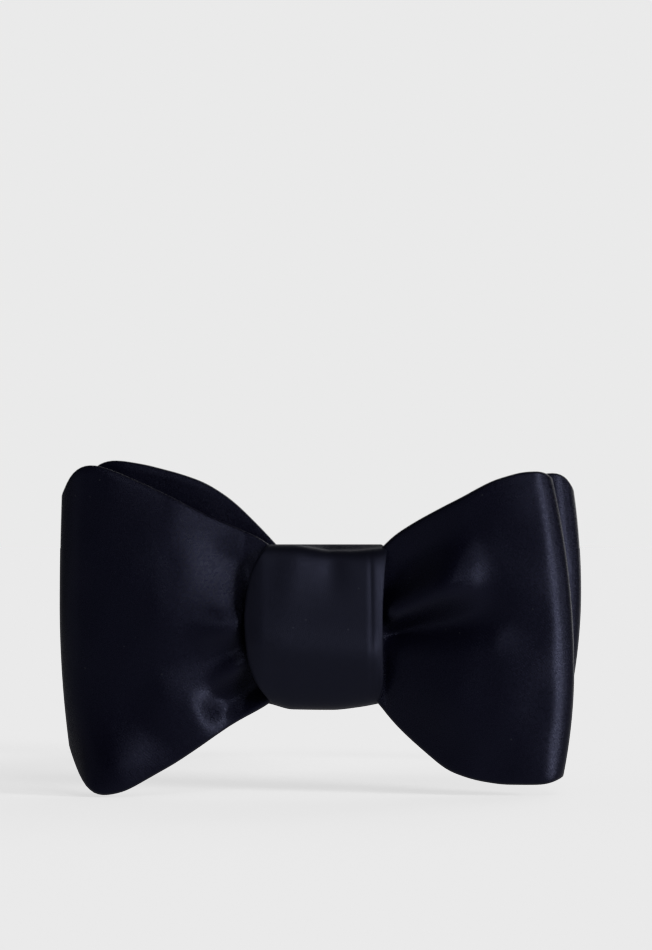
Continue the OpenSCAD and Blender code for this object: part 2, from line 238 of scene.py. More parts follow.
class Graph:
    """A shader or geometry node tree, with one way to add any node."""

    def __init__(self, tree: bpy.types.NodeTree) -> None:
        """Clear the tree and keep it."""
        self.tree = tree
        tree.nodes.clear()

    def add(self, kind: str, settings: dict | None = None, sockets: dict | None = None) -> bpy.types.Node:
        """Add a node.

        Args:
            kind: the node's type.
            settings: its own settings, which are set first.
            sockets: values or signals for its inputs, by name or index.

        Returns:
            The new node.
        """
        node = self.tree.nodes.new(kind)
        for name, value in (settings or {}).items():
            setattr(node, name, value)
        for key, value in (sockets or {}).items():
            if isinstance(value, Signal):
                self.tree.links.new(value.socket, node.inputs[key])
            else:
                node.inputs[key].default_value = value
        return node

    def out(self, node: bpy.types.Node, key: object = 0) -> Signal:
        """Return one of a node's outputs as a signal."""
        return Signal(self, node.outputs[key])


# ---------------------------------------------------------------- finishes

class Slot(Enum):
    """The record's material slots."""

    SATIN = "satin"
    BAND_SATIN = "band_satin"
    INTERLINING = "interlining"
    THREAD = "thread"
    NICKEL = "nickel"


class Finish:
    """A procedural material that builds itself once."""

    name = "finish"

    def material(self) -> bpy.types.Material:
        """Find the finish's material, or make it at first use.

        Returns:
            The material.
        """
        found = bpy.data.materials.get(self.name)
        if found is None:
            found = bpy.data.materials.new(self.name)
            found.use_nodes = True
            self.build(Graph(found.node_tree))
        return found

    def build(self, graph: Graph) -> None:
        """Fill the material's tree."""
        raise NotImplementedError

    def noise(self, graph: Graph, place: Signal, scale: float, detail: float = 3.0) -> Signal:
        """Return a noise field.

        Args:
            graph: the tree to add to.
            place: the coordinates to read.
            scale: waves per metre.
            detail: octaves.

        Returns:
            A value from 0 to 1.
        """
        node = graph.add("ShaderNodeTexNoise", {}, {"Vector": place, "Scale": scale, "Detail": detail})
        return graph.out(node, "Fac" if "Fac" in node.outputs else 0)

    def tint(self, graph: Graph, share: Signal, low: tuple, high: tuple) -> Signal:
        """Return a colour between two, by share."""
        node = graph.add("ShaderNodeMix", {"data_type": "RGBA"}, {0: share, 6: (*low, 1), 7: (*high, 1)})
        return graph.out(node, 2)

    def close(self, graph: Graph, colour: Signal, roughness: Signal, height: Signal, depth: float,
              **constant: float) -> None:
        """End the tree in a Principled shader.

        Args:
            graph: the tree.
            colour: base colour over the surface.
            roughness: roughness over the surface.
            height: bump height from 0 to 1.
            depth: what a height of 1 stands for, in millimetres.
            constant: values that are the same all over, by socket name with _ for a space.
        """
        bump = graph.add("ShaderNodeBump", {}, {"Height": height, "Distance": depth * MM, "Strength": 1.0})
        shader = graph.add("ShaderNodeBsdfPrincipled", {}, {
            "Base Color": colour, "Roughness": roughness, "Normal": graph.out(bump),
            **{key.replace("_", " "): value for key, value in constant.items()}})
        graph.add("ShaderNodeOutputMaterial", {}, {"Surface": graph.out(shader)})


@dataclass(frozen=True)
class SatinFinish(Finish):
    """Silk satin: long floats that run along the ribbon, a soft sheen and a little lint."""

    name: str = "midnight_satin"
    dark: tuple = (0.0022, 0.0020, 0.0080)
    light: tuple = (0.0042, 0.0039, 0.0125)
    lint: tuple = (0.045, 0.047, 0.055)
    roughness: float = 0.27
    float_w: float = 0.16
    float_l: float = 1.3
    weave_depth: float = 0.036
    specular: float = 0.36
    gloss_tint: tuple = (0.58, 0.62, 1.0)
    sheen: float = 0.03
    sheen_tint: tuple = (0.5, 0.55, 1.0)

    def build(self, graph: Graph) -> None:
        """Build floats on the ribbon's own UV, mottling on its place, lint, and painted shade at the turned
        edges.

        Args:
            graph: the material's tree.
        """
        cloth = graph.out(graph.add("ShaderNodeUVMap", {"uv_map": "cloth"}))
        place = graph.out(graph.add("ShaderNodeTexCoord"), "Object")
        parts = graph.add("ShaderNodeSeparateXYZ", {}, {0: cloth})
        along, across = graph.out(parts, 0), graph.out(parts, 1)
        pitch = self.float_w * MM
        lane = graph.out(graph.add("ShaderNodeMath", {"operation": "FLOOR"}, {0: across / pitch}))
        crown = ((across / pitch - lane - 0.5) * math.pi).cosine()
        shift = along / (self.float_l * MM) + lane * 0.618
        phase = shift - graph.out(graph.add("ShaderNodeMath", {"operation": "FLOOR"}, {0: shift}))
        tuck = (phase - 0.5).size().ramp(0.40, 0.5)
        slub = self.noise(graph, place, 1500, 3.0)
        broad = self.noise(graph, place, 60, 4.0)
        speck = graph.add("ShaderNodeTexVoronoi", {"feature": "F1"}, {"Vector": place, "Scale": 420.0})
        rare = self.noise(graph, place, 150, 1.0).over(0.62)
        dust = (1 - graph.out(speck, "Distance").ramp(0.05, 0.10)) * rare
        hem = graph.out(graph.add("ShaderNodeAttribute", {"attribute_name": "hem"}), "Fac")
        # painted shade: (1 - hem) * 0.15 keeps the tone lighter across the faces and darker at the turned
        # edges
        tone = (broad * 0.55 + slub * 0.25 + crown * 0.2) * (1 - tuck * 0.5) + (1 - hem) * 0.15
        plain = self.tint(graph, tone, self.dark, self.light)
        colour = graph.out(graph.add("ShaderNodeMix", {"data_type": "RGBA"},
                                     {0: dust * 0.8, 6: plain, 7: (*self.lint, 1)}), 2)
        rough = self.roughness + (broad - 0.5) * 0.14 + (slub - 0.5) * 0.26 + tuck * 0.06
        height = crown * (1 - tuck * 0.8) * 0.5 + slub * 0.35 + broad * 0.6
        self.close(graph, colour, rough, height, self.weave_depth, Specular_IOR_Level=self.specular,
                   Sheen_Weight=self.sheen, Sheen_Roughness=0.4, Sheen_Tint=(*self.sheen_tint, 1),
                   Specular_Tint=(*self.gloss_tint, 1))


@dataclass(frozen=True)
class CanvasFinish(Finish):
    """Ecru canvas stiffener in a plain weave."""

    name: str = "ecru_canvas"
    dark: tuple = (0.42, 0.38, 0.30)
    light: tuple = (0.66, 0.62, 0.53)
    thread_w: float = 0.42

    def build(self, graph: Graph) -> None:
        """Build crossing threads on the cloth's UV with uneven yarn.

        Args:
            graph: the material's tree.
        """
        cloth = graph.out(graph.add("ShaderNodeUVMap", {"uv_map": "cloth"}))
        place = graph.out(graph.add("ShaderNodeTexCoord"), "Object")
        parts = graph.add("ShaderNodeSeparateXYZ", {}, {0: cloth})
        turn = math.pi / (self.thread_w * MM)
        weft, warp = (graph.out(parts, 0) * turn).sine(), (graph.out(parts, 1) * turn).sine()
        weave = weft * warp * 0.5 + 0.5
        yarn = self.noise(graph, place, 700, 3.0)
        colour = self.tint(graph, weave * 0.5 + yarn * 0.5, self.dark, self.light)
        self.close(graph, colour, 0.86 + yarn * 0.1, weave * 0.7 + yarn * 0.3, 0.06, Specular_IOR_Level=0.2)


@dataclass(frozen=True)
class ThreadFinish(Finish):
    """Twisted polyester sewing thread."""

    name: str = "navy_thread"
    dark: tuple = (0.004, 0.004, 0.008)
    light: tuple = (0.016, 0.016, 0.026)
    twist: float = 0.35

    def build(self, graph: Graph) -> None:
        """Build a slanting twist and fuzz on the thread's place.

        Args:
            graph: the material's tree.
        """
        place = graph.out(graph.add("ShaderNodeTexCoord"), "Object")
        parts = graph.add("ShaderNodeSeparateXYZ", {}, {0: place})
        turn = 2 * math.pi / (self.twist * MM)
        slant = (graph.out(parts, 0) + graph.out(parts, 1) + graph.out(parts, 2)) * turn
        ply = slant.sine() * 0.5 + 0.5
        fuzz = self.noise(graph, place, 3000, 2.0)
        colour = self.tint(graph, ply * 0.6 + fuzz * 0.4, self.dark, self.light)
        self.close(graph, colour, 0.45 + fuzz * 0.2, ply * 0.7 + fuzz * 0.3, 0.03, Specular_IOR_Level=0.45,
                   Sheen_Weight=0.15)


@dataclass(frozen=True)
class NickelFinish(Finish):
    """Plated steel, polished, with fine rubbing marks and cloudy plating."""

    name: str = "polished_nickel"
    dark: tuple = (0.58, 0.56, 0.53)
    light: tuple = (0.78, 0.76, 0.72)
    roughness: float = 0.17

    def build(self, graph: Graph) -> None:
        """Build rubbing marks from a stretched noise and cloudy plating.

        Args:
            graph: the material's tree.
        """
        place = graph.out(graph.add("ShaderNodeTexCoord"), "Object")
        turned = graph.out(graph.add("ShaderNodeMapping", {}, {
            "Vector": place, "Rotation": (0.3, 0.2, 0.5), "Scale": (1.0, 14.0, 14.0)}))
        marks = self.noise(graph, turned, 260, 4.0)
        cloud = self.noise(graph, place, 220, 3.0)
        colour = self.tint(graph, cloud * 0.6 + marks * 0.4, self.dark, self.light)
        rough = self.roughness + (cloud - 0.5) * 0.14 + (marks - 0.5) * 0.12
        self.close(graph, colour, rough, marks * 0.6 + cloud * 0.4, 0.012, Metallic=1.0)


SATIN = SatinFinish()
# Knot satin: the same cloth with more roughness and gloss, and a lighter, greyer base colour that paints the
# sheen of floats running across the knot.
KNOT_SATIN_PAINTED_SHEEN = SatinFinish(name="midnight_satin_cross_grain_painted_sheen", dark=(0.0024, 0.0025, 0.0066),
                          light=(0.0046, 0.0048, 0.0105), roughness=0.45, specular=0.5)
BAND_SATIN = SatinFinish(name="band_satin", roughness=0.42, specular=0.34)
CANVAS = CanvasFinish()
THREAD = ThreadFinish()
NICKEL = NickelFinish()


# ---------------------------------------------------------------- pieces

def new_piece(name: str, mesh: bpy.types.Mesh, finish: Finish) -> bpy.types.Object:
    """Put a mesh in the scene as a piece of the object.

    Args:
        name: the piece's name.
        mesh: its mesh, in metres in the frame.
        finish: its material.

    Returns:
        The new object.
    """
    piece = bpy.data.objects.new(name, mesh)
    bpy.context.scene.collection.objects.link(piece)
    mesh.materials.clear()
    mesh.materials.append(finish.material())
    log.info("%s: %d faces", name, len(mesh.polygons))
    return piece


@dataclass
class Cloth:
    """A strip of cloth given a thickness: a sewn sleeve with an empty inside, or one plain layer.

    Attributes:
        middle: points of the strip's middle surface, along x across x 3, in millimetres.
        thickness: outer thickness.
        cavity: thickness of the empty inside, or 0 for a plain layer.
        hem: how far the empty inside stops short of the edges.
        round_steps: faces round each turned edge.
    """

    middle: np.ndarray
    thickness: float
    cavity: float = 0.0
    hem: float = 0.6
    round_steps: int = 6

    def _frame(self, middle: np.ndarray) -> tuple[np.ndarray, np.ndarray]:
        """Return the unit tangent along and the unit normal of a middle surface."""
        along = unit(np.gradient(middle, axis=0))
        return along, unit(np.cross(along, np.gradient(middle, axis=1)))

    def _wall(self, middle: np.ndarray, thickness: float) -> np.ndarray:
        """Return the closed sections round the strip.

        Args:
            middle: the middle surface that they go round.
            thickness: their thickness.

        Returns:
            Their points, along x round x 3.
        """
        along, normal = self._frame(middle)
        half = thickness / 2
        turns = np.linspace(0, math.pi, self.round_steps + 1)[1:-1]
        sides = []
        for edge, sign in ((-1, 1), (0, -1)):
            out = unit(np.cross(normal[:, edge], along[:, edge]))
            out *= np.sign(np.sum(out * (middle[:, -1] - middle[:, 0]), axis=1, keepdims=True)) * sign
            sides.append([middle[:, edge] + half * (sign * math.cos(a) * normal[:, edge] + math.sin(a) * out)
                          for a in turns])
        top, low = (np.stack(side, axis=1) for side in sides)
        return np.concatenate([middle + half * normal, top, (middle - half * normal)[:, ::-1], low], axis=1)

    def mesh(self, name: str) -> bpy.types.Mesh:
        """Make the closed mesh, with a UV map in metres and an attribute that marks the hems.

        Args:
            name: the mesh's name.

        Returns:
            The mesh, in metres.
        """
        count, rows = self.middle.shape[:2]
        outer = self._wall(self.middle, self.thickness)
        ring = outer.shape[1]
        walls = [outer]
        if self.cavity:
            height = np.linalg.norm(self.middle[:, -1] - self.middle[:, 0], axis=1).mean()
            share = np.linspace(self.hem / height, 1 - self.hem / height, rows) * (rows - 1)
            i = np.minimum(share.astype(int), rows - 2)
            part = (share - i)[None, :, None]
            inner = self.middle[:, i] * (1 - part) + self.middle[:, i + 1] * part
            walls.append(self._wall(inner, self.cavity))
        points = np.concatenate([w.reshape(-1, 3) for w in walls])
        faces, corners = [], []
        step = np.linalg.norm(np.diff(self.middle[:, rows // 2], axis=0), axis=1)
        length = np.concatenate([[0], np.cumsum(step)])
        girth = np.concatenate([[0], np.cumsum(np.linalg.norm(
            np.diff(np.concatenate([outer, outer[:, :1]], axis=1), axis=1), axis=2).mean(axis=0))])
        for wall in range(len(walls)):
            base = wall * count * ring
            for i in range(count - 1):
                for j in range(ring):
                    k = (j + 1) % ring
                    face = [base + i * ring + j, base + i * ring + k,
                            base + (i + 1) * ring + k, base + (i + 1) * ring + j]
                    corner = [(length[i], girth[j]), (length[i], girth[j + 1]),
                              (length[i + 1], girth[j + 1]), (length[i + 1], girth[j])]
                    faces.append(face if wall == 0 else face[::-1])
                    corners.extend(corner if wall == 0 else corner[::-1])
        for i, flip in ((0, True), (count - 1, False)):
            for face in self._end(i, ring, rows, count):
                faces.append(face[::-1] if flip else face)
                corners.extend([(length[i], girth[v % ring]) for v in faces[-1]])
        mesh = bpy.data.meshes.new(name)
        mesh.from_pydata((points * MM).tolist(), [], faces)
        uv = mesh.uv_layers.new(name="cloth")
        uv.data.foreach_set("uv", (np.array(corners) * MM).astype(np.float32).ravel())
        self._mark_hems(mesh, rows, ring, len(walls) * count)
        mesh.update()
        self._face_out(mesh)
        mesh.shade_smooth()
        return mesh

    def _end(self, i: int, ring: int, rows: int, count: int) -> list[list[int]]:
        """Close the strip at one end.

        Args:
            i: the end's station.
            ring: points round a section.
            rows: points across the middle surface.
            count: stations along the strip.

        Returns:
            The faces, as lists of point numbers.
        """
        first = i * ring
        if self.cavity:
            inner = count * ring + first
            return [[first + j, inner + j, inner + (j + 1) % ring, first + (j + 1) % ring]
                    for j in range(ring)]
        back = first + rows + self.round_steps - 1
        faces = [[first + j, back + rows - 1 - j, back + rows - 2 - j, first + j + 1]
                 for j in range(rows - 1)]
        faces.append([first + j for j in range(rows - 1, rows + self.round_steps)])
        faces.append([(back + rows - 1 + j) if j < self.round_steps else first
                      for j in range(self.round_steps + 1)])
        return faces

    def _mark_hems(self, mesh: bpy.types.Mesh, rows: int, ring: int, sections: int) -> None:
        """Store how near each point is to a turned edge, from 0 inside to 1 at the edge; the satin darkens
        its tone there as painted shade.

        Args:
            mesh: the strip's mesh.
            rows: points across the middle surface.
            ring: points round a section.
            sections: sections in the mesh.
        """
        near = np.abs(np.linspace(-1, 1, rows)) ** 12
        turned = np.ones(self.round_steps - 1)
        section = np.concatenate([near, turned, near[::-1], turned])
        mark = mesh.attributes.new("hem", "FLOAT", "POINT")
        mark.data.foreach_set("value", np.tile(section, sections).astype(np.float32))

    def _face_out(self, mesh: bpy.types.Mesh) -> None:
        """Turn every face round if the closed mesh is inside out.

        Args:
            mesh: the strip's mesh.
        """
        work = bmesh.new()
        work.from_mesh(mesh)
        if work.calc_volume(signed=True) < 0:
            bmesh.ops.reverse_faces(work, faces=work.faces[:])
        work.to_mesh(mesh)
        work.free()

    def flat_size(self) -> tuple[float, float]:
        """Measure the cut: a sleeve is cut twice as wide as it lies.

        Returns:
            Its width and length, in metres.
        """
        rows = np.linalg.norm(np.diff(self.middle, axis=1), axis=2).sum(axis=1).mean() + self.thickness
        length = np.linalg.norm(np.diff(self.middle, axis=0), axis=2).sum(axis=0).mean()
        return (rows * (2 if self.cavity else 1) * MM, length * MM)

    def inset(self, edge: float, ends: int) -> np.ndarray:
        """Return the middle surface drawn in from its edges and its ends.

        Args:
            edge: how far in from each edge.
            ends: how many stations are left off at each end.

        Returns:
            The smaller middle surface.
        """
        across = self.middle[:, -1] - self.middle[:, 0]
        height = np.linalg.norm(across, axis=1, keepdims=True)
        rows = self.middle.shape[1]
        share = np.linspace(0, 1, rows)[None, :] * (1 - 2 * edge / height) + edge / height
        spot = share * (rows - 1)
        i = np.clip(spot.astype(int), 0, rows - 2)
        part = (spot - i)[..., None]
        n = np.arange(len(self.middle))[:, None]
        surface = self.middle[n, i] * (1 - part) + self.middle[n, i + 1] * part
        return surface[ends:len(surface) - ends]


# ---------------------------------------------------------------- bows

class Edge(Enum):
    """A ribbon's two long edges."""

    TOP = "top"
    LOW = "low"


@dataclass(frozen=True)
class Crease:
    """A ridge or a valley that runs out from the knot and fades, in the plane of the bow's front."""

    start: tuple[float, float]
    end: tuple[float, float]
    width: tuple[float, float]
    height: float
    rise: float = 0.12
    hold: float = 0.35

    def lift(self, x: np.ndarray, z: np.ndarray) -> np.ndarray:
        """Read the crease at places across the bow.

        Args:
            x, z: the places.

        Returns:
            How far the cloth is lifted forward there.
        """
        a, d = np.array(self.start), np.array(self.end) - np.array(self.start)
        t = ((x - a[0]) * d[0] + (z - a[1]) * d[1]) / (d @ d)
        off = ((x - a[0]) * d[1] - (z - a[1]) * d[0]) / math.hypot(*d)
        width = self.width[0] + (self.width[1] - self.width[0]) * np.clip(t, 0, 1)
        fade = smooth((t + self.rise) / (2 * self.rise)) * (1 - smooth((t - self.hold) / (1 - self.hold)))
        return self.height * fade * np.exp(-(off / width) ** 2)


@dataclass(frozen=True)
class Wing:
    """One side of a bow.

    Attributes:
        top: (share of reach, share of half height) points of the top edge.
        low: the same for the bottom edge, downwards.
        lean_top: how far the outer fold leans in at a full half height above its fullest place.
        lean_low: the same below it.
        fullest: height at which the fold reaches furthest out.
        creases: its folds.
    """

    top: list[tuple[float, float]]
    low: list[tuple[float, float]]
    lean_top: float
    lean_low: float
    fullest: float
    creases: list[Crease] = field(default_factory=list)


@dataclass
class Bow:
    """One looped ribbon: back, right fold, front, left fold and back again.

    Attributes:
        node: the CAD node that the ribbon stands for.
        left, right: its wings.
        front_out, back_out: how far its two plies swell apart.
        belly: how much further the front ply stands out in the middle of a wing.
        gain: how much of the creases the back and front plies take.
        thickness, cavity: the ribbon's outer thickness and that of its empty inside.
        knot_edge: where a wing starts, from the middle of the knot.
        waist_half: half of the ribbon's height inside the knot.
        fold_l, roll: length of the rounded outer fold, and how far the front ply rolls back to it.
        canvas_t, canvas_in: the stiffener's thickness, and how far it stops short of the ribbon's edges.
    """

    node: str
    left: Wing
    right: Wing
    front_out: float
    back_out: float
    belly: float
    gain: tuple[float, float]
    thickness: float = 1.5
    knot_edge: float = 16.3
    waist_half: float = 15.5
    fold_l: float = 5.0
    roll: float = 1.5
    seam_half: float = 0.6
    leg_stations: int = 56
    fold_stations: int = 18
    rows: int = 50
    cavity: float = 0.8
    canvas_t: float = 0.45
    canvas_in: float = 1.4

    def _stations(self, reach: dict[int, float]) -> tuple[np.ndarray, np.ndarray]:
        """Lay out the stations along the ribbon.

        Args:
            reach: how far each side's outer fold reaches, by sign of x.

        Returns:
            Each station's place across the bow, and its share of the way from the back ply to the front.
        """
        xs, shares = [], []
        spread = np.linspace(0, 1, self.leg_stations)
        bend = np.radians(np.linspace(0, 180, self.fold_stations + 1)[1:-1])
        for side in (1, -1):
            inner = reach[side] - self.fold_l
            out = side * (self.seam_half + (inner - self.seam_half) * spread)
            back = (out, np.zeros_like(out))
            turn = (side * (inner + self.fold_l * np.sin(bend)), (1 - np.cos(bend)) / 2)
            front = (out[::-1], np.ones_like(out))
            legs = [back, turn, front]
            if side < 0:
                legs = [(x[::-1], s[::-1]) for x, s in legs[::-1]]
            xs.extend(leg[0] for leg in legs)
            shares.extend(leg[1] for leg in legs)
        return np.concatenate(xs), np.concatenate(shares)

    def _edge(self, x: np.ndarray, reach: dict[int, float], half: float, which: Edge) -> np.ndarray:
        """Read one edge of the ribbon at places across the bow.

        Args:
            x: the places.
            reach: how far each side's outer fold reaches, by sign of x.
            half: half of the bow's height.
            which: the edge.

        Returns:
            Its distance from the middle of the bow at each place.
        """
        edge = np.full_like(x, self.waist_half)
        for side, wing in ((-1, self.left), (1, self.right)):
            share = side * x / reach[side]
            points = wing.top if which is Edge.TOP else wing.low
            mine = share > points[0][0]
            edge[mine] = half * spline(points, share[mine])
        ripple = 0.06 * np.sin(x * 0.42 + 3.0) + 0.04 * np.sin(x * 0.97 + 2.1)
        edge += ripple * smooth((np.abs(x) - self.knot_edge) / 6)
        for _ in range(6):
            edge[1:-1] = (edge[:-2] + 2 * edge[1:-1] + edge[2:]) / 4
        return edge

    def surface(self) -> Cloth:
        """Shape the ribbon's middle surface.

        Returns:
            The ribbon.
        """
        box = Box.of(self.node)
        half_t = self.thickness / 2
        reach = {-1: -box.low[0] - half_t, 1: box.high[0] - half_t}
        half = max(-box.low[2], box.high[2]) - half_t
        front_y = box.low[1] + half_t + self.front_out
        back_y = box.high[1] - half_t - self.back_out
        x, share = self._stations(reach)
        top = self._edge(x, reach, half, Edge.TOP)
        low = -self._edge(x, reach, half, Edge.LOW)
        z = low[:, None] + (top - low)[:, None] * np.linspace(0, 1, self.rows)[None, :]
        x2 = np.repeat(x[:, None], self.rows, axis=1)
        s2 = share[:, None]
        out = np.zeros_like(z)
        shift = np.zeros_like(z)
        lift = np.zeros_like(z)
        belly = np.zeros_like(z)
        rolled = np.zeros_like(z)
        for side, wing in ((-1, self.left), (1, self.right)):
            mine = side * x2 > 0
            span = reach[side] - self.knot_edge
            u = np.clip((side * x2 - self.knot_edge) / span, 0, None)
            out += mine * smooth(u * 2)
            tall = (z - wing.fullest) / half
            lean = np.where(tall > 0, wing.lean_top, wing.lean_low)
            shift -= mine * side * u * u * lean * tall ** 2
            rolled += mine * np.clip((u - 0.72) / 0.28, 0, 1.2) ** 2
            belly += mine * np.sin(np.pi * np.clip(u, 0, 1) ** 0.7) * (1 - (z / half) ** 2 * 0.8)
            for crease in wing.creases:
                lift += mine * crease.lift(x2, z)
        calm = 1 - smooth((s2 * (1 - s2)) * 4)
        gain = self.gain[0] + (self.gain[1] - self.gain[0]) * s2
        wave = 0.08 * np.sin(x2 * 0.21 + z * 0.33 + 1.3) + 0.05 * np.sin(x2 * 0.47 - z * 0.29 + 0.4)
        front = front_y - self.front_out * out - self.belly * belly + self.roll * rolled
        back = back_y + self.back_out * out
        y = back * (1 - s2) + front * s2 - (lift * gain + wave * out) * (0.35 + 0.65 * calm)
        return Cloth(np.stack([x2 + shift, y, z], axis=2), self.thickness, self.cavity)

    def build(self) -> None:
        """Make the ribbon and the stiffener inside it."""
        cloth = self.surface()
        ribbon = new_piece(f"{self.node}_ribbon", cloth.mesh(f"{self.node}_ribbon"), SATIN)
        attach(ribbon, "bow")
        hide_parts(self.node)
        cloth.flat_size()
        canvas = Cloth(cloth.inset(self.canvas_in, 2), self.canvas_t, round_steps=2)
        name = f"{self.node}_canvas"
        lining = new_piece(name, canvas.mesh(name), CANVAS)
        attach(lining, "bow")
        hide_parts(f"{self.node}_interlining")
        canvas.flat_size()


FRONT_LEFT = Wing(
    top=[(0.14, 0.393), (0.195, 0.487), (0.295, 0.563), (0.43, 0.652), (0.57, 0.759), (0.727, 0.871),
         (0.825, 0.929), (0.90, 0.958), (0.957, 0.93), (1.0, 0.77)],
    low=[(0.14, 0.393), (0.178, 0.447), (0.334, 0.581), (0.49, 0.741), (0.647, 0.876), (0.805, 0.982),
         (0.9, 1.0), (0.962, 0.93), (1.0, 0.7)],
    lean_top=1.0, lean_low=3.0, fullest=5.0,
    creases=[
        Crease((-16.0, 0.5), (-31.0, -1.5), (3.8, 5.5), 2.0, hold=0.3),
        Crease((-13.0, -6.5), (-25.0, -13.5), (2.0, 3.2), 1.7, hold=0.4),
        Crease((-10.0, -12.5), (-28.0, -21.5), (2.7, 4.9), -3.3, hold=0.6),
        Crease((-42.0, -31.0), (-72.0, -50.4), (9.0, 11.0), 4.2, rise=0.25, hold=0.9),
        Crease((-15.0, 12.0), (-44.0, 26.0), (3.0, 7.0), -0.8),
        Crease((-20.0, -6.0), (-52.0, -14.0), (4.0, 9.0), -0.8),
    ])
FRONT_RIGHT = Wing(
    top=[(0.245, 0.393), (0.292, 0.5), (0.45, 0.652), (0.62, 0.782), (0.756, 0.871), (0.897, 0.914),
         (0.966, 0.915), (1.0, 0.875)],
    low=[(0.24, 0.4), (0.262, 0.47), (0.292, 0.53), (0.351, 0.63), (0.449, 0.759), (0.529, 0.858),
         (0.654, 0.916), (0.802, 0.942), (0.931, 0.94), (1.0, 0.9)],
    lean_top=3.8, lean_low=6.0, fullest=-10.0,
    creases=[
        Crease((15.5, 2.0), (42.0, 15.0), (2.2, 7.2), 4.0, hold=0.5),
        Crease((15.5, -2.6), (48.0, 4.0), (2.2, 6.5), -3.2, hold=0.4),
        Crease((17.0, -14.0), (50.0, -20.0), (7.0, 12.0), 0.9),
        Crease((43.0, -2.0), (46.0, -34.0), (4.5, 6.5), 0.7, hold=0.5),
        Crease((17.0, 12.0), (44.0, 29.0), (3.0, 6.0), -0.8),
    ])
REAR_LEFT = Wing(
    top=[(0.13, 0.393), (0.18, 0.487), (0.272, 0.624), (0.358, 0.741), (0.485, 0.858), (0.614, 0.916),
         (0.785, 0.975), (0.88, 0.987), (0.95, 0.95), (1.0, 0.79)],
    low=[(0.15, 0.393), (0.2, 0.43), (0.35, 0.53), (0.5, 0.66), (0.65, 0.78), (0.8, 0.86), (0.9, 0.86),
         (0.96, 0.8), (1.0, 0.6)],
    lean_top=1.0, lean_low=2.0, fullest=5.0,
    creases=[
        Crease((-13.0, 9.0), (-40.0, 26.0), (3.0, 6.0), -1.2),
        Crease((-13.0, 4.0), (-42.0, 8.0), (4.0, 9.0), 1.0),
    ])
REAR_RIGHT = Wing(
    top=[(0.24, 0.393), (0.285, 0.48), (0.43, 0.63), (0.6, 0.755), (0.73, 0.845), (0.86, 0.893),
         (0.937, 0.911), (0.98, 0.893), (1.0, 0.8)],
    low=[(0.24, 0.393), (0.28, 0.44), (0.4, 0.58), (0.55, 0.72), (0.7, 0.76), (0.85, 0.74), (0.95, 0.68),
         (1.0, 0.5)],
    lean_top=4.5, lean_low=6.0, fullest=8.0,
    creases=[Crease((16.0, -3.0), (46.0, -6.0), (4.0, 9.0), 1.0)])


# ---------------------------------------------------------------- knot

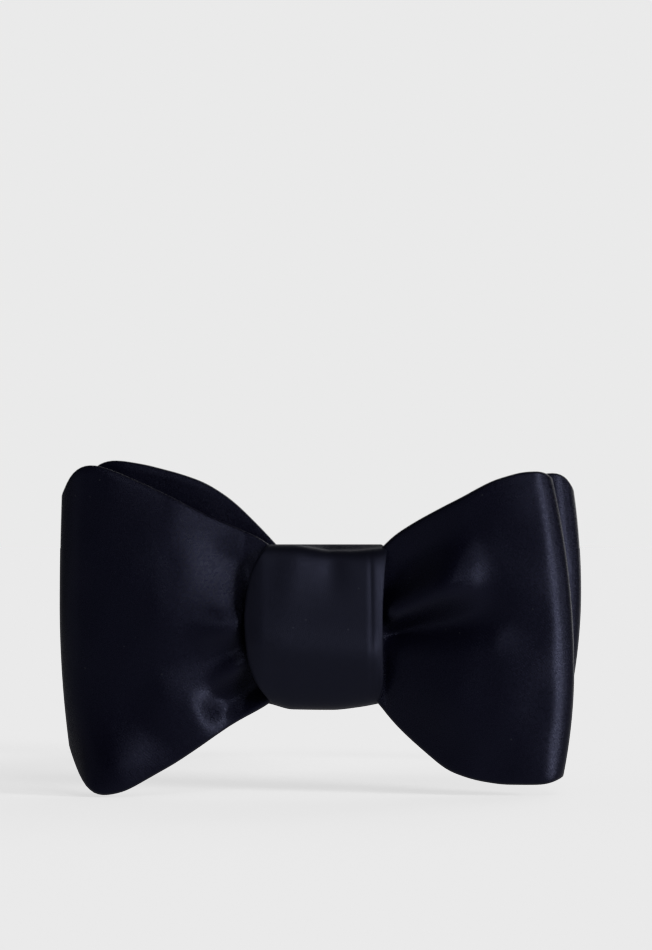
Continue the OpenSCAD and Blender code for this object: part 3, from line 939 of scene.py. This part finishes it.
@dataclass
class Knot:
    """The wrap round the waist, its stiffener, the binding thread and the seam's stitches."""

    thickness: float = 1.2
    cavity: float = 0.7
    squareness: float = 6.5
    swell: float = 1.9
    seam: float = 1.5
    stations: int = 200
    rows: int = 70
    canvas_t: float = 0.3
    canvas_in: float = 1.5
    back_half: float = 15.4
    stitch_count: int = 9
    stitch_l: float = 2.6
    stitch_d: float = 0.36
    back_top: float = 18.8
    base_shift: float = 0.3
    depth_room: float = 0.6
    edge_roll: float = 0.9
    left_edge: ClassVar[list[tuple[float, float]]] = [
        (-19.7, 8.6), (-17.8, 10.6), (-14.0, 13.4), (-7.3, 15.2), (2.2, 15.8), (11.8, 14.6), (16.0, 12.9),
        (19.0, 10.8)]
    right_edge: ClassVar[list[tuple[float, float]]] = [
        (-19.7, 14.4), (-14.0, 15.3), (2.0, 15.2), (12.0, 15.6), (19.0, 16.2)]
    top_edge: ClassVar[list[tuple[float, float]]] = [
        (-16.0, 18.3), (-11.0, 18.8), (-5.0, 18.8), (0.0, 18.1), (3.5, 17.6), (8.0, 17.6), (16.0, 18.2)]
    low_edge: ClassVar[list[tuple[float, float]]] = [
        (-16.0, 17.2), (-10.0, 18.4), (-5.0, 19.6), (4.0, 19.7), (10.0, 19.1), (16.0, 18.0)]
    creases: ClassVar[list[Crease]] = [
        Crease((-15.0, -4.5), (16.0, -7.5), (4.2, 4.2), 0.8, rise=0.3, hold=0.9),
        Crease((-15.0, -20.0), (16.0, -20.5), (6.5, 6.5), -1.7, rise=0.3, hold=0.95),
        Crease((4.5, 19.0), (3.0, 2.0), (2.2, 5.0), -0.5, rise=0.2, hold=0.1),
        Crease((12.8, 21.0), (13.2, -21.0), (0.5, 0.5), -0.16, rise=0.05, hold=0.95),
        Crease((-4.0, 20.0), (-9.0, -6.0), (3.0, 5.0), 0.3, rise=0.2, hold=0.3),
    ]

    def surface(self) -> Cloth:
        """Shape the wrap's middle surface, from the seam at its back, over the top and round again.

        Returns:
            The wrap.
        """
        box = Box.of("knot_wrap")
        half_y = (box.high[1] - box.low[1]) / 2 - self.thickness / 2
        half_z = (box.high[2] - box.low[2]) / 2 - self.thickness / 2
        angle = np.radians(np.linspace(self.seam, 360 - self.seam, self.stations))
        c, s = np.cos(angle), np.sin(angle)
        q = (np.abs(c) ** self.squareness + np.abs(s) ** self.squareness) ** (1 / self.squareness)
        y, z = (half_y - self.depth_room) * c / q, half_z * s / q
        facing = smooth((-c + 0.1) / 0.5)
        left = -(self.back_half + (spline(self.left_edge, z) - self.back_half) * facing)
        right = self.back_half + (spline(self.right_edge, z) - self.back_half) * facing
        across = np.linspace(0, 1, self.rows)[None, :]
        x = left[:, None] + (right - left)[:, None] * across
        y2, z2, f2 = (np.repeat(v[:, None], self.rows, axis=1) for v in (y, z, facing))
        lift = sum(crease.lift(x, z2) for crease in self.creases)
        roll = np.clip((np.abs(x - 0.4) - 12.0) / 4.0, 0, 1) ** 2
        y2 = y2 - f2 * (self.swell * (1 - (z2 / half_z) ** 2) + lift - self.edge_roll * roll)
        top = self.back_top + (spline(self.top_edge, x) - self.back_top) * f2 - self.thickness / 2
        low = spline(self.low_edge, x) - self.thickness / 2
        z2 = z2 / half_z * np.where(z2 > 0, top, low)
        y2 = y2 + box.middle[1] + self.base_shift
        return Cloth(np.stack([x, y2, z2], axis=2), self.thickness, self.cavity)

    def build(self) -> None:
        """Make the wrap, its stiffener, the binding and the stitches."""
        cloth = self.surface()
        # the wrap's satin has the sheen of its cross-grain floats painted into a lighter base colour
        wrap = new_piece("knot_wrap_satin", cloth.mesh("knot_wrap_satin"), KNOT_SATIN_PAINTED_SHEEN)
        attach(wrap, "bow")
        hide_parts("knot_wrap")
        cloth.flat_size()
        canvas = Cloth(cloth.inset(self.canvas_in, 2), self.canvas_t, round_steps=2)
        lining = new_piece("knot_canvas", canvas.mesh("knot_canvas"), CANVAS)
        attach(lining, "bow")
        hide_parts("knot_interlining")
        canvas.flat_size()
        Winding().build()
        self._stitch(cloth)

    def _stitch(self, cloth: Cloth) -> None:
        """Sew the wrap's two ends together at the back.

        Args:
            cloth: the wrap.
        """
        back = (cloth.middle[0] + cloth.middle[-1]) / 2 + np.array([0, self.thickness / 2, 0])
        path = back[3:-3]
        StitchRow("knot_seam_stitches", path, np.array([0.0, 1.0, 0.0]), self.stitch_count,
                  self.stitch_l, self.stitch_d, slant=78).build("bow", "knot_stitches")


class TubeTree:
    """A geometry node tree that ends in thread, with named inputs."""

    def __init__(self, name: str, inputs: dict[str, tuple[str, object]]) -> None:
        """Make the tree's sockets.

        Args:
            name: the tree's name.
            inputs: for each input, its socket type and its value.
        """
        self.tree = bpy.data.node_groups.new(name, "GeometryNodeTree")
        self.graph = Graph(self.tree)
        self.values = {}
        face = self.tree.interface
        face.new_socket("Geometry", in_out="INPUT", socket_type="NodeSocketGeometry")
        face.new_socket("Geometry", in_out="OUTPUT", socket_type="NodeSocketGeometry")
        for label, (kind, value) in inputs.items():
            made = face.new_socket(label, in_out="INPUT", socket_type=kind)
            self.values[made.identifier] = value
        self.start = self.graph.add("NodeGroupInput")

    def given(self, label: str) -> Signal:
        """Return a named input."""
        return self.graph.out(self.start, label)

    def end(self, geometry: Signal, finish: Finish) -> None:
        """Realise the geometry, give it its material and send it out.

        Args:
            geometry: what the tree has made.
            finish: its finish.
        """
        graph = self.graph
        real = graph.out(graph.add("GeometryNodeRealizeInstances", {}, {0: geometry}))
        round_off = graph.out(graph.add("GeometryNodeSetShadeSmooth", {}, {0: real}))
        dressed = graph.out(graph.add("GeometryNodeSetMaterial", {}, {0: round_off, "Material": None}))
        dressed.socket.node.inputs["Material"].default_value = finish.material()
        graph.add("NodeGroupOutput", {}, {0: dressed})

    def run(self, name: str, base: bpy.types.Mesh) -> bpy.types.Mesh:
        """Run the tree on a base mesh.

        Args:
            name: the name of the result.
            base: the mesh that carries the modifier.

        Returns:
            The result as a plain mesh.
        """
        carrier = bpy.data.objects.new(f"{name}_base", base)
        bpy.context.scene.collection.objects.link(carrier)
        modifier = carrier.modifiers.new("thread", "NODES")
        modifier.node_group = self.tree
        for identifier, value in self.values.items():
            modifier[identifier] = value
        bpy.context.view_layer.update()
        depsgraph = bpy.context.evaluated_depsgraph_get()
        mesh = bpy.data.meshes.new_from_object(carrier.evaluated_get(depsgraph))
        mesh.name = name
        carrier.modifiers.remove(modifier)
        bpy.data.objects.remove(carrier)
        return mesh


@dataclass
class Winding:
    """The thread wound round the waist, as one helix."""

    node: str = "waist_binding"
    turns: int = 7
    thread_d: float = 0.8
    slack: float = 1.6
    squareness: float = 8.0
    points_per_turn: int = 56

    def build(self) -> None:
        """Make the winding from a line that a node tree bends into a helix."""
        box = Box.of(self.node)
        span = box.high - box.low - self.thread_d - np.array([0, 0, self.slack])
        tree = TubeTree("thread_winding", {
            "Turns": ("NodeSocketFloat", float(self.turns)),
            "Width": ("NodeSocketFloat", span[0] * MM),
            "Half Depth": ("NodeSocketFloat", span[1] / 2 * MM),
            "Half Height": ("NodeSocketFloat", span[2] / 2 * MM),
            "Squareness": ("NodeSocketFloat", self.squareness),
            "Thread": ("NodeSocketFloat", self.thread_d * MM),
            "Points": ("NodeSocketInt", self.turns * self.points_per_turn)})
        graph = tree.graph
        line = graph.out(graph.add("GeometryNodeCurvePrimitiveLine"))
        fine = graph.out(graph.add("GeometryNodeResampleCurve", {}, {
            "Curve": line, "Count": tree.given("Points")}))
        step = graph.out(graph.add("GeometryNodeInputIndex")) / (tree.given("Points") - 1.0)
        angle = step * tree.given("Turns") * (2 * math.pi)
        c, s, n = angle.cosine(), angle.sine(), tree.given("Squareness")
        q = (c.size() ** n + s.size() ** n) ** (1 / n)
        spot = graph.add("ShaderNodeCombineXYZ", {}, {
            0: (step - 0.5) * tree.given("Width"), 1: c / q * tree.given("Half Depth"),
            2: s / q * tree.given("Half Height")})
        helix = graph.out(graph.add("GeometryNodeSetPosition", {}, {
            "Geometry": fine, "Position": Signal(graph, spot.outputs[0])}))
        ring = graph.out(graph.add("GeometryNodeCurvePrimitiveCircle", {}, {
            "Resolution": 10, "Radius": tree.given("Thread") * 0.48}))
        tube = graph.out(graph.add("GeometryNodeCurveToMesh", {}, {0: helix, 1: ring, "Fill Caps": True}))
        tree.end(tube, THREAD)
        mesh = tree.run("waist_binding_thread", bpy.data.meshes.new("winding_base"))
        mesh.transform(Matrix.Translation(Vector(box.middle * MM)))
        piece = new_piece("waist_binding_thread", mesh, THREAD)
        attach(piece, "bow")
        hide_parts(self.node)


@dataclass
class StitchRow:
    """A row of short stitches along a path.

    Attributes:
        name: the piece's name.
        path: points of the row, in millimetres.
        outward: direction away from the cloth.
        count: how many stitches.
        length: length of a stitch.
        thread_d: thread diameter.
        slant: turn of each stitch from the path, in degrees.
        seed: seed of the stitches' unevenness.
        sway: how far a stitch may turn from its row's slant, in radians.
    """

    name: str
    path: np.ndarray
    outward: np.ndarray
    count: int
    length: float
    thread_d: float
    slant: float = 0.0
    seed: int = 3
    sway: float = 0.07

    def mesh(self) -> bpy.types.Mesh:
        """Make the row's stitches.

        Returns:
            One mesh of them all.
        """
        tree = TubeTree(f"{self.name}_tree", {
            "Count": ("NodeSocketInt", self.count),
            "Length": ("NodeSocketFloat", self.length * MM),
            "Thread": ("NodeSocketFloat", self.thread_d * MM),
            "Slant": ("NodeSocketFloat", math.radians(self.slant)),
            "Outward": ("NodeSocketVector", tuple(float(v) for v in self.outward)),
            "Seed": ("NodeSocketInt", self.seed)})
        graph = tree.graph
        row = graph.out(graph.add("GeometryNodeMeshToCurve", {}, {0: tree.given("Geometry")}))
        spots = graph.add("GeometryNodeCurveToPoints", {"mode": "COUNT"}, {
            "Curve": row, "Count": tree.given("Count")})
        face = graph.out(graph.add("FunctionNodeAlignRotationToVector", {"axis": "Z"}, {
            "Vector": tree.given("Outward")}))
        turned = graph.out(graph.add("FunctionNodeAlignRotationToVector", {"axis": "X", "pivot_axis": "Z"}, {
            "Rotation": face, "Vector": graph.out(spots, "Tangent")}))
        half = tree.given("Length") * 0.5
        ends = [graph.out(graph.add("ShaderNodeCombineXYZ", {}, {0: half * side})) for side in (-1, 1)]
        top = graph.out(graph.add("ShaderNodeCombineXYZ", {}, {2: tree.given("Thread") * 1.1}))
        bow = graph.out(graph.add("GeometryNodeCurveQuadraticBezier", {}, {
            "Resolution": 8, "Start": ends[0], "Middle": top, "End": ends[1]}))
        ring = graph.out(graph.add("GeometryNodeCurvePrimitiveCircle", {}, {
            "Resolution": 8, "Radius": tree.given("Thread") * 0.5}))
        thread = graph.out(graph.add("GeometryNodeCurveToMesh", {}, {0: bow, 1: ring, "Fill Caps": True}))
        placed = graph.out(graph.add("GeometryNodeInstanceOnPoints", {}, {
            "Points": graph.out(spots, "Points"), "Instance": thread, "Rotation": turned}))
        uneven = graph.add("FunctionNodeRandomValue", {"data_type": "FLOAT"}, {
            2: -self.sway, 3: self.sway, "Seed": tree.given("Seed")})
        angle = graph.out(graph.add("ShaderNodeCombineXYZ", {}, {
            2: graph.out(uneven, 1) + tree.given("Slant")}))
        swung = graph.out(graph.add("GeometryNodeRotateInstances", {}, {
            "Instances": placed, "Rotation": angle}))
        tree.end(swung, THREAD)
        base = bpy.data.meshes.new(f"{self.name}_path")
        steps = [(i, i + 1) for i in range(len(self.path) - 1)]
        base.from_pydata((self.path * MM).tolist(), steps, [])
        return tree.run(self.name, base)

    def build(self, body: str, node: str) -> None:
        """Put the row on a body in place of a CAD node.

        Args:
            body: the body that it rides on.
            node: the node that it stands for.
        """
        piece = new_piece(self.name, self.mesh(), THREAD)
        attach(piece, body)
        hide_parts(node)


# ---------------------------------------------------------------- neckband

@dataclass
class Neckband:
    """The strap: a left side that ends in the hook, a right side to the eye, and the layer that the
    slider adjusts.

    Attributes:
        strap_t, strap_h: its thickness and height.
        flat_half, bend_run: half of the flat stretch behind the knot, and the bend past each end of it.
        tail_l: length of a sewn-back end.
        step_l: spacing of the stations along the strap.
        ripple: how far the strap waves in and out.
        bar_gap: room between a bar and the fold round it.
        blend_half: half of the stretch of strap round the hook end's corner, which the left stiffener stops
            short of.
        tack_half: half the width of a bartack, and its distance from the strap's edges.
        tack_stitches, tack_stitch_l, tack_d: number, length and diameter of its upright rows' stitches.
    """

    strap_t: float = 1.2
    cavity: float = 0.7
    canvas_t: float = 0.3
    canvas_in: float = 1.2
    rows: int = 26
    flat_half: float = 18.0
    bend_run: float = 2.5
    tail_l: float = 10.0
    step_l: float = 0.9
    ripple: float = 0.05
    bar_gap: float = 0.15
    slider_t: float = 0.8
    slider_bar_w: float = 1.6
    slider_reach: float = 6.0
    slider_at: float = 45.0
    hook_t: float = 1.0
    wire_r: float = 1.1
    fold_points: int = 20
    blend_half: float = 7.0
    tack_half: float = 2.4
    tack_points: int = 12
    tack_stitches: int = 34
    tack_stitch_l: float = 2.2
    tack_d: float = 0.3

    def __post_init__(self) -> None:
        """Work the strap's route out of the frame."""
        mount = frame["record"]["mounts"][0]["dims"]
        self.neck_r = mount["r_mm"]
        self.strap_h = mount["length_mm"]
        self.left_r = self.neck_r + self.strap_t / 2
        self.right_r = Box.of("neckband").high[0] - self.strap_t / 2
        eye = Box.of("eye_loop")
        self.eye_bar = np.array([eye.high[0] - self.wire_r, eye.middle[1]])
        self.eye_a = math.degrees(math.atan2(self.eye_bar[1], self.eye_bar[0]))
        self.return_r = 2 * np.linalg.norm(self.eye_bar) - self.right_r
        fold_in = self.slider_t * math.sqrt(0.5) + self.bar_gap
        self.slider_fold = fold_in + self.strap_t / 2
        self.bar_r = self.return_r - self.slider_fold
        turn = 180 / math.pi / self.right_r
        self.bar_a = self.slider_at + (self.slider_reach - (self.slider_bar_w - self.slider_t) / 2) * turn
        self.tail_a = self.tail_l * turn
        hook = Box.of("hook")
        self.hook_bar = np.array([hook.low[0] + self.hook_t / 2, hook.high[1] - self.hook_t / 2])
        self.hook_fold = self.hook_t * math.sqrt(0.5) + self.bar_gap + self.strap_t / 2
        reach = self.neck_r + self.hook_fold + self.strap_t / 2
        bar_a = math.degrees(math.atan2(self.hook_bar[1], self.hook_bar[0]))
        self.flex_a = bar_a + math.degrees(math.acos(reach / np.linalg.norm(self.hook_bar)))
        self.flex_l = reach * math.tan(math.radians(self.flex_a - bar_a))

    def _strip(self, plan: np.ndarray) -> Cloth:
        """Raise an upright strip of strap along a plan, evenly stepped.

        Args:
            plan: points of its route, seen from above.

        Returns:
            The strip.
        """
        step = np.concatenate([[0], np.cumsum(np.linalg.norm(np.diff(plan, axis=0), axis=1))])
        count = max(40, int(step[-1] / self.step_l))
        even = np.linspace(0, step[-1], count)
        route = np.stack([np.interp(even, step, plan[:, k]) for k in (0, 1)], axis=1)
        for _ in range(3):
            route[1:-1] = (route[:-2] + 2 * route[1:-1] + route[2:]) / 4
        half = self.strap_h / 2 - self.strap_t / 2
        z = np.linspace(-half, half, self.rows)
        ripple = self.ripple * np.sin(even * 0.31)[:, None] * np.cos(z * 0.5)[None, :]
        out = unit(np.stack([np.gradient(route[:, 1]), -np.gradient(route[:, 0])], axis=1))
        x = route[:, :1] + out[:, :1] * ripple
        y = route[:, 1:] + out[:, 1:] * ripple
        tall = np.repeat(z[None, :], count, axis=0)
        return Cloth(np.stack([x, y, tall], axis=2), self.strap_t, self.cavity)

    def left_plan(self) -> np.ndarray:
        """Lay out the left side: from the knot, round the neck, and folded on the hook's bar.

        Returns:
            Points of its route.
        """
        bend = -90 - math.degrees(math.asin((self.flat_half + self.bend_run) / self.left_r))
        along = polar(1, self.flex_a - 90)
        out = polar(1, self.flex_a)
        corner = polar(self.neck_r, self.flex_a)
        ring = arc((0, 0), self.left_r, 360 + bend, self.flex_a, 150)
        fold_at = corner + along * self.flex_l + out * (self.hook_fold + self.strap_t / 2)
        fold = arc(fold_at, self.hook_fold, self.flex_a - 180, self.flex_a, self.fold_points)
        tail = fold[-1] - along * self.tail_l
        mid = Box.of("neckband").low[1] + self.strap_t / 2
        return np.concatenate([[[0, mid], [-self.flat_half, mid]], ring, fold, [tail]])

    def right_plan(self) -> np.ndarray:
        """Lay out the right side, from behind the knot to the eye.

        Returns:
            Points of its route.
        """
        bend = -90 + math.degrees(math.asin((self.flat_half + self.bend_run) / self.right_r))
        mid = Box.of("neckband").low[1] + self.strap_t / 2
        ring = arc((0, 0), self.right_r, bend, self.eye_a, 150)
        return np.concatenate([[[0, mid], [self.flat_half, mid]], ring])

    def return_plan(self) -> np.ndarray:
        """Lay out the adjusting layer: folded on the eye, back to the slider and round its bar.

        Returns:
            Points of its route.
        """
        fold_r = self.return_r - np.linalg.norm(self.eye_bar)
        fold = arc(self.eye_bar, fold_r, self.eye_a + 180, self.eye_a, self.fold_points)
        back = arc((0, 0), self.return_r, self.eye_a, self.bar_a, 60)
        bar = polar(self.bar_r, self.bar_a)
        turn = arc(bar, self.slider_fold, self.bar_a, self.bar_a - 180, self.fold_points)
        tail = arc((0, 0), self.bar_r - self.slider_fold, self.bar_a, self.bar_a + self.tail_a, 20)
        return np.concatenate([fold, back[1:], turn[1:], tail[1:]])

    def _lay(self, name: str, plan: np.ndarray, nodes: list[str]) -> tuple[bpy.types.Object, Cloth]:
        """Make one stretch of strap.

        Args:
            name: the piece's name.
            plan: points of its route.
            nodes: the CAD nodes that it stands for.

        Returns:
            The piece and its cloth.
        """
        cloth = self._strip(plan)
        piece = new_piece(name, cloth.mesh(name), BAND_SATIN)
        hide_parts(*nodes)
        cloth.flat_size()
        return piece, cloth

    def build(self) -> None:
        """Make the strap's three stretches, the stiffener and the bartacks."""
        along = polar(1, self.flex_a - 90)
        corner = polar(self.neck_r, self.flex_a)
        left, left_cloth = self._lay("neckband_left", self.left_plan(), ["neckband", "neckband_hook_end"])
        near, far = corner - along * self.blend_half, corner + along * self.blend_half
        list(near * MM)
        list(far * MM)
        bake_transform(left)
        right, right_cloth = self._lay("neckband_right", self.right_plan(), ["neckband"])
        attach(right, "band")
        back, _ = self._lay("neckband_adjusting_layer", self.return_plan(), ["neckband_return"])
        start, end = polar(self.return_r, self.eye_a - 3), polar(self.return_r, self.bar_a + self.tail_a + 2)
        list(start * MM)
        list(end * MM)
        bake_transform(back)
        left_keep = self._before_flex(left_cloth, corner, along)
        for name, cloth in (("neckband_canvas_left", left_keep), ("neckband_canvas_right", right_cloth)):
            canvas = Cloth(cloth.inset(self.canvas_in, 2), self.canvas_t, round_steps=2)
            lining = new_piece(name, canvas.mesh(name), CANVAS)
            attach(lining, "band")
            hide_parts("neckband_interlining")
            canvas.flat_size()
        self._tack()

    def _before_flex(self, cloth: Cloth, corner: np.ndarray, along: np.ndarray) -> Cloth:
        """Cut off the part of the left side that stays on the round of the neck.

        Args:
            cloth: the whole left side.
            corner: where the hook end leaves the round of the neck.
            along: the strap's direction there.

        Returns:
            The part that doesn't bend.
        """
        centre = cloth.middle[:, self.rows // 2, :2]
        keep = (centre - corner) @ along < -self.blend_half - 1
        return Cloth(cloth.middle[:np.argmin(keep)], self.strap_t)

    def _tack(self) -> None:
        """Sew both sewn-back ends down with a bartack of close upright stitches."""
        half = self.strap_h / 2 - self.tack_half
        rise = np.linspace(-half, half, self.tack_points)
        outward = polar(1, self.bar_a + self.tail_a / 2)
        base = outward * (self.return_r + self.strap_t / 2)
        self._tack_rows("slider_bartack_thread", base, outward, rise, "adjuster", "slider_bartack")
        out, along = polar(1, self.flex_a), polar(1, self.flex_a - 90)
        base = (polar(self.neck_r, self.flex_a) + along * (self.flex_l - self.tail_l / 2)
                + out * (2 * self.hook_fold + self.strap_t))
        self._tack_rows("hook_bartack_thread", base, out, rise, "hook_end", "hook_bartack")

    def _tack_rows(self, name: str, base: np.ndarray, outward: np.ndarray, rise: np.ndarray, body: str,
                   node: str) -> None:
        """Make one bartack: two upright bars of close cross stitches, joined by one stitch at each end.

        Args:
            name: the piece's name.
            base: its middle, seen from above.
            outward: direction away from the cloth, seen from above.
            rise: heights along a bar.
            body: the body that it rides on.
            node: the CAD node that it stands for.
        """
        out = np.array([outward[0], outward[1], 0])
        side = np.array([-outward[1], outward[0], 0])
        foot = np.array([base[0], base[1], 0])
        path = np.array([foot + np.array([0, 0, z]) for z in rise])
        meshes = [StitchRow(f"{name}_{k}", path + side * shift, out, self.tack_stitches, self.tack_stitch_l,
                            self.tack_d, slant=84, seed=k).mesh()
                  for k, shift in enumerate((-self.tack_half, self.tack_half))]
        ends = path[[0, -1]]
        meshes.append(StitchRow(f"{name}_2", ends, out, 2, 2 * self.tack_half, self.tack_d, slant=90,
                                seed=2).mesh())
        work = bmesh.new()
        for mesh in meshes:
            work.from_mesh(mesh)
        joined = bpy.data.meshes.new(name)
        work.to_mesh(joined)
        work.free()
        joined.shade_smooth()
        piece = new_piece(name, joined, THREAD)
        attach(piece, body)
        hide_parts(node)


# ---------------------------------------------------------------- metal fittings

@dataclass(frozen=True)
class Fitting:
    """A stamped or bent metal fitting: the CAD shape with its edges rounded as tumbling leaves them."""

    node: str
    body: str
    edge: float = 0.14

    def build(self) -> None:
        """Copy the node's mesh, merge it, round its edges and plate it."""
        work = bmesh.new()
        work.from_mesh(frame["nodes"][self.node].data)
        bmesh.ops.remove_doubles(work, verts=work.verts[:], dist=1e-6)
        bmesh.ops.dissolve_limit(work, angle_limit=math.radians(1), verts=work.verts[:], edges=work.edges[:])
        sharp = [e for e in work.edges if e.is_manifold and e.calc_face_angle(0) > math.radians(35)]
        bmesh.ops.bevel(work, geom=sharp, offset=self.edge * MM, segments=3, profile=0.5, affect="EDGES",
                        clamp_overlap=True)
        mesh = bpy.data.meshes.new(f"{self.node}_metal")
        work.to_mesh(mesh)
        work.free()
        mesh.shade_smooth()
        mesh.set_sharp_from_angle(angle=math.radians(50))
        piece = new_piece(f"{self.node}_metal", mesh, NICKEL)
        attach(piece, self.body)
        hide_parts(self.node)


# ---------------------------------------------------------------- studio

@dataclass(frozen=True)
class Lamp:
    """A square soft light that faces the knot: its place from the knot and its size in mm, and its power."""

    name: str
    place: tuple[float, float, float]
    size: float
    power: float

    def hang(self) -> None:
        """Put the light in the scene."""
        lamp = bpy.data.lights.new(self.name, "AREA")
        lamp.size = self.size * MM
        lamp.energy = self.power
        light = bpy.data.objects.new(self.name, lamp)
        bpy.context.scene.collection.objects.link(light)
        target = Vector(Box.of("knot_wrap").middle * MM)
        light.location = target + Vector(self.place) * MM
        light.rotation_euler = (target - light.location).to_track_quat("-Z", "Y").to_euler()


LAMPS = (
    Lamp("key", (1050, -750, 260), 420, 6.4),
    Lamp("top", (250, -900, 800), 420, 0.9),
    Lamp("left_fill", (-900, -500, 150), 700, 0.25),
    Lamp("back", (500, 1000, 350), 800, 1.6),
)


@dataclass
class Studio:
    """Pale floor, soft lights, a plain pale world and the camera."""

    pale: float = 0.823
    camera_d: float = 1200.0
    camera_x: float = 2.6
    camera_z: float = 35.0
    view_h: float = 220.1
    sensor: float = 36.0
    floor_size: float = 8.0
    floor_glow: float = 0.2
    floor_gap: float = 0.4
    floor_tone: float = 0.3
    dim_world: float = 0.035
    back_glow: float = 0.08

    def build(self) -> None:
        """Make everything that isn't the object."""
        bpy.context.scene.view_settings.view_transform = "Standard"
        self._world()
        self._floor()
        for lamp in LAMPS:
            lamp.hang()
        self._camera()

    def _world(self) -> None:
        """Make a world that looks pale and lights dimly, a little more from behind."""
        world = bpy.data.worlds.new("studio")
        world.use_nodes = True
        bpy.context.scene.world = world
        graph = Graph(world.node_tree)
        seen = graph.out(graph.add("ShaderNodeLightPath"), "Is Camera Ray")
        toward = graph.out(graph.add("ShaderNodeTexCoord"), "Generated")
        behind = graph.out(graph.add("ShaderNodeSeparateXYZ", {}, {0: toward}), 1).ramp(0.1, 1.0)
        dim = self.dim_world + behind * self.back_glow
        strength = dim * (1 - seen) + seen * self.pale
        glow = graph.add("ShaderNodeBackground", {}, {"Color": (1, 1, 1, 1), "Strength": strength})
        graph.add("ShaderNodeOutputWorld", {}, {"Surface": graph.out(glow)})

    def _floor(self) -> None:
        """Lay a pale floor under the wings' lowest corners."""
        low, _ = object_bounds()
        half = self.floor_size / 2
        mesh = bpy.data.meshes.new("floor")
        z = low[2] - self.floor_gap * MM
        square = [(-half, -half, z), (half, -half, z), (half, half, z), (-half, half, z)]
        mesh.from_pydata(square, [], [(0, 1, 2, 3)])
        floor = bpy.data.objects.new("floor", mesh)
        bpy.context.scene.collection.objects.link(floor)
        material = bpy.data.materials.new("pale_floor")
        material.use_nodes = True
        graph = Graph(material.node_tree)
        lit = graph.add("ShaderNodeBsdfPrincipled", {}, {
            "Base Color": (*[self.floor_tone] * 3, 1), "Roughness": 1.0, "Specular IOR Level": 0.0,
            "Emission Color": (1, 1, 1, 1), "Emission Strength": self.floor_glow})
        graph.add("ShaderNodeOutputMaterial", {}, {"Surface": graph.out(lit)})
        mesh.materials.append(material)
        floor.visible_diffuse = False
        floor.is_shadow_catcher = True
        floor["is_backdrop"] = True

    def _camera(self) -> None:
        """Stand the camera in front, a little above the knot, looking level."""
        lens = bpy.data.cameras.new("camera")
        lens.sensor_width = self.sensor
        lens.lens = self.sensor * self.camera_d / self.view_h
        lens.clip_start, lens.clip_end = 0.01, 100
        camera = bpy.data.objects.new("camera", lens)
        bpy.context.scene.collection.objects.link(camera)
        front = Box.of("knot_wrap").low[1]
        camera.location = Vector((self.camera_x, front - self.camera_d, self.camera_z)) * MM
        camera.rotation_euler = (math.pi / 2, 0, 0)
        bpy.context.scene.camera = camera


# ---------------------------------------------------------------- the whole

def corners() -> list[list[float]]:
    """Return the whole object's box as plain lists."""
    return [[float(v) for v in corner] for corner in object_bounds()]


def main() -> None:
    """Build every sub-assembly in order."""
    logging.basicConfig(level=logging.INFO, format="%(message)s")
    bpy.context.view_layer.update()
    Studio().build()
    Knot().build()
    Bow("front_bow", FRONT_LEFT, FRONT_RIGHT, front_out=4.0, back_out=0.0, belly=1.6, gain=(0.7, 1.0)).build()
    Bow("rear_bow", REAR_LEFT, REAR_RIGHT, front_out=0.0, back_out=4.5, belly=0.0, gain=(0.3, 0.5)).build()
    Neckband().build()
    for node, body in (("slider", "adjuster"), ("eye_loop", "band"), ("hook", "hook")):
        Fitting(node, body).build()


if __name__ == "__main__":
    main()
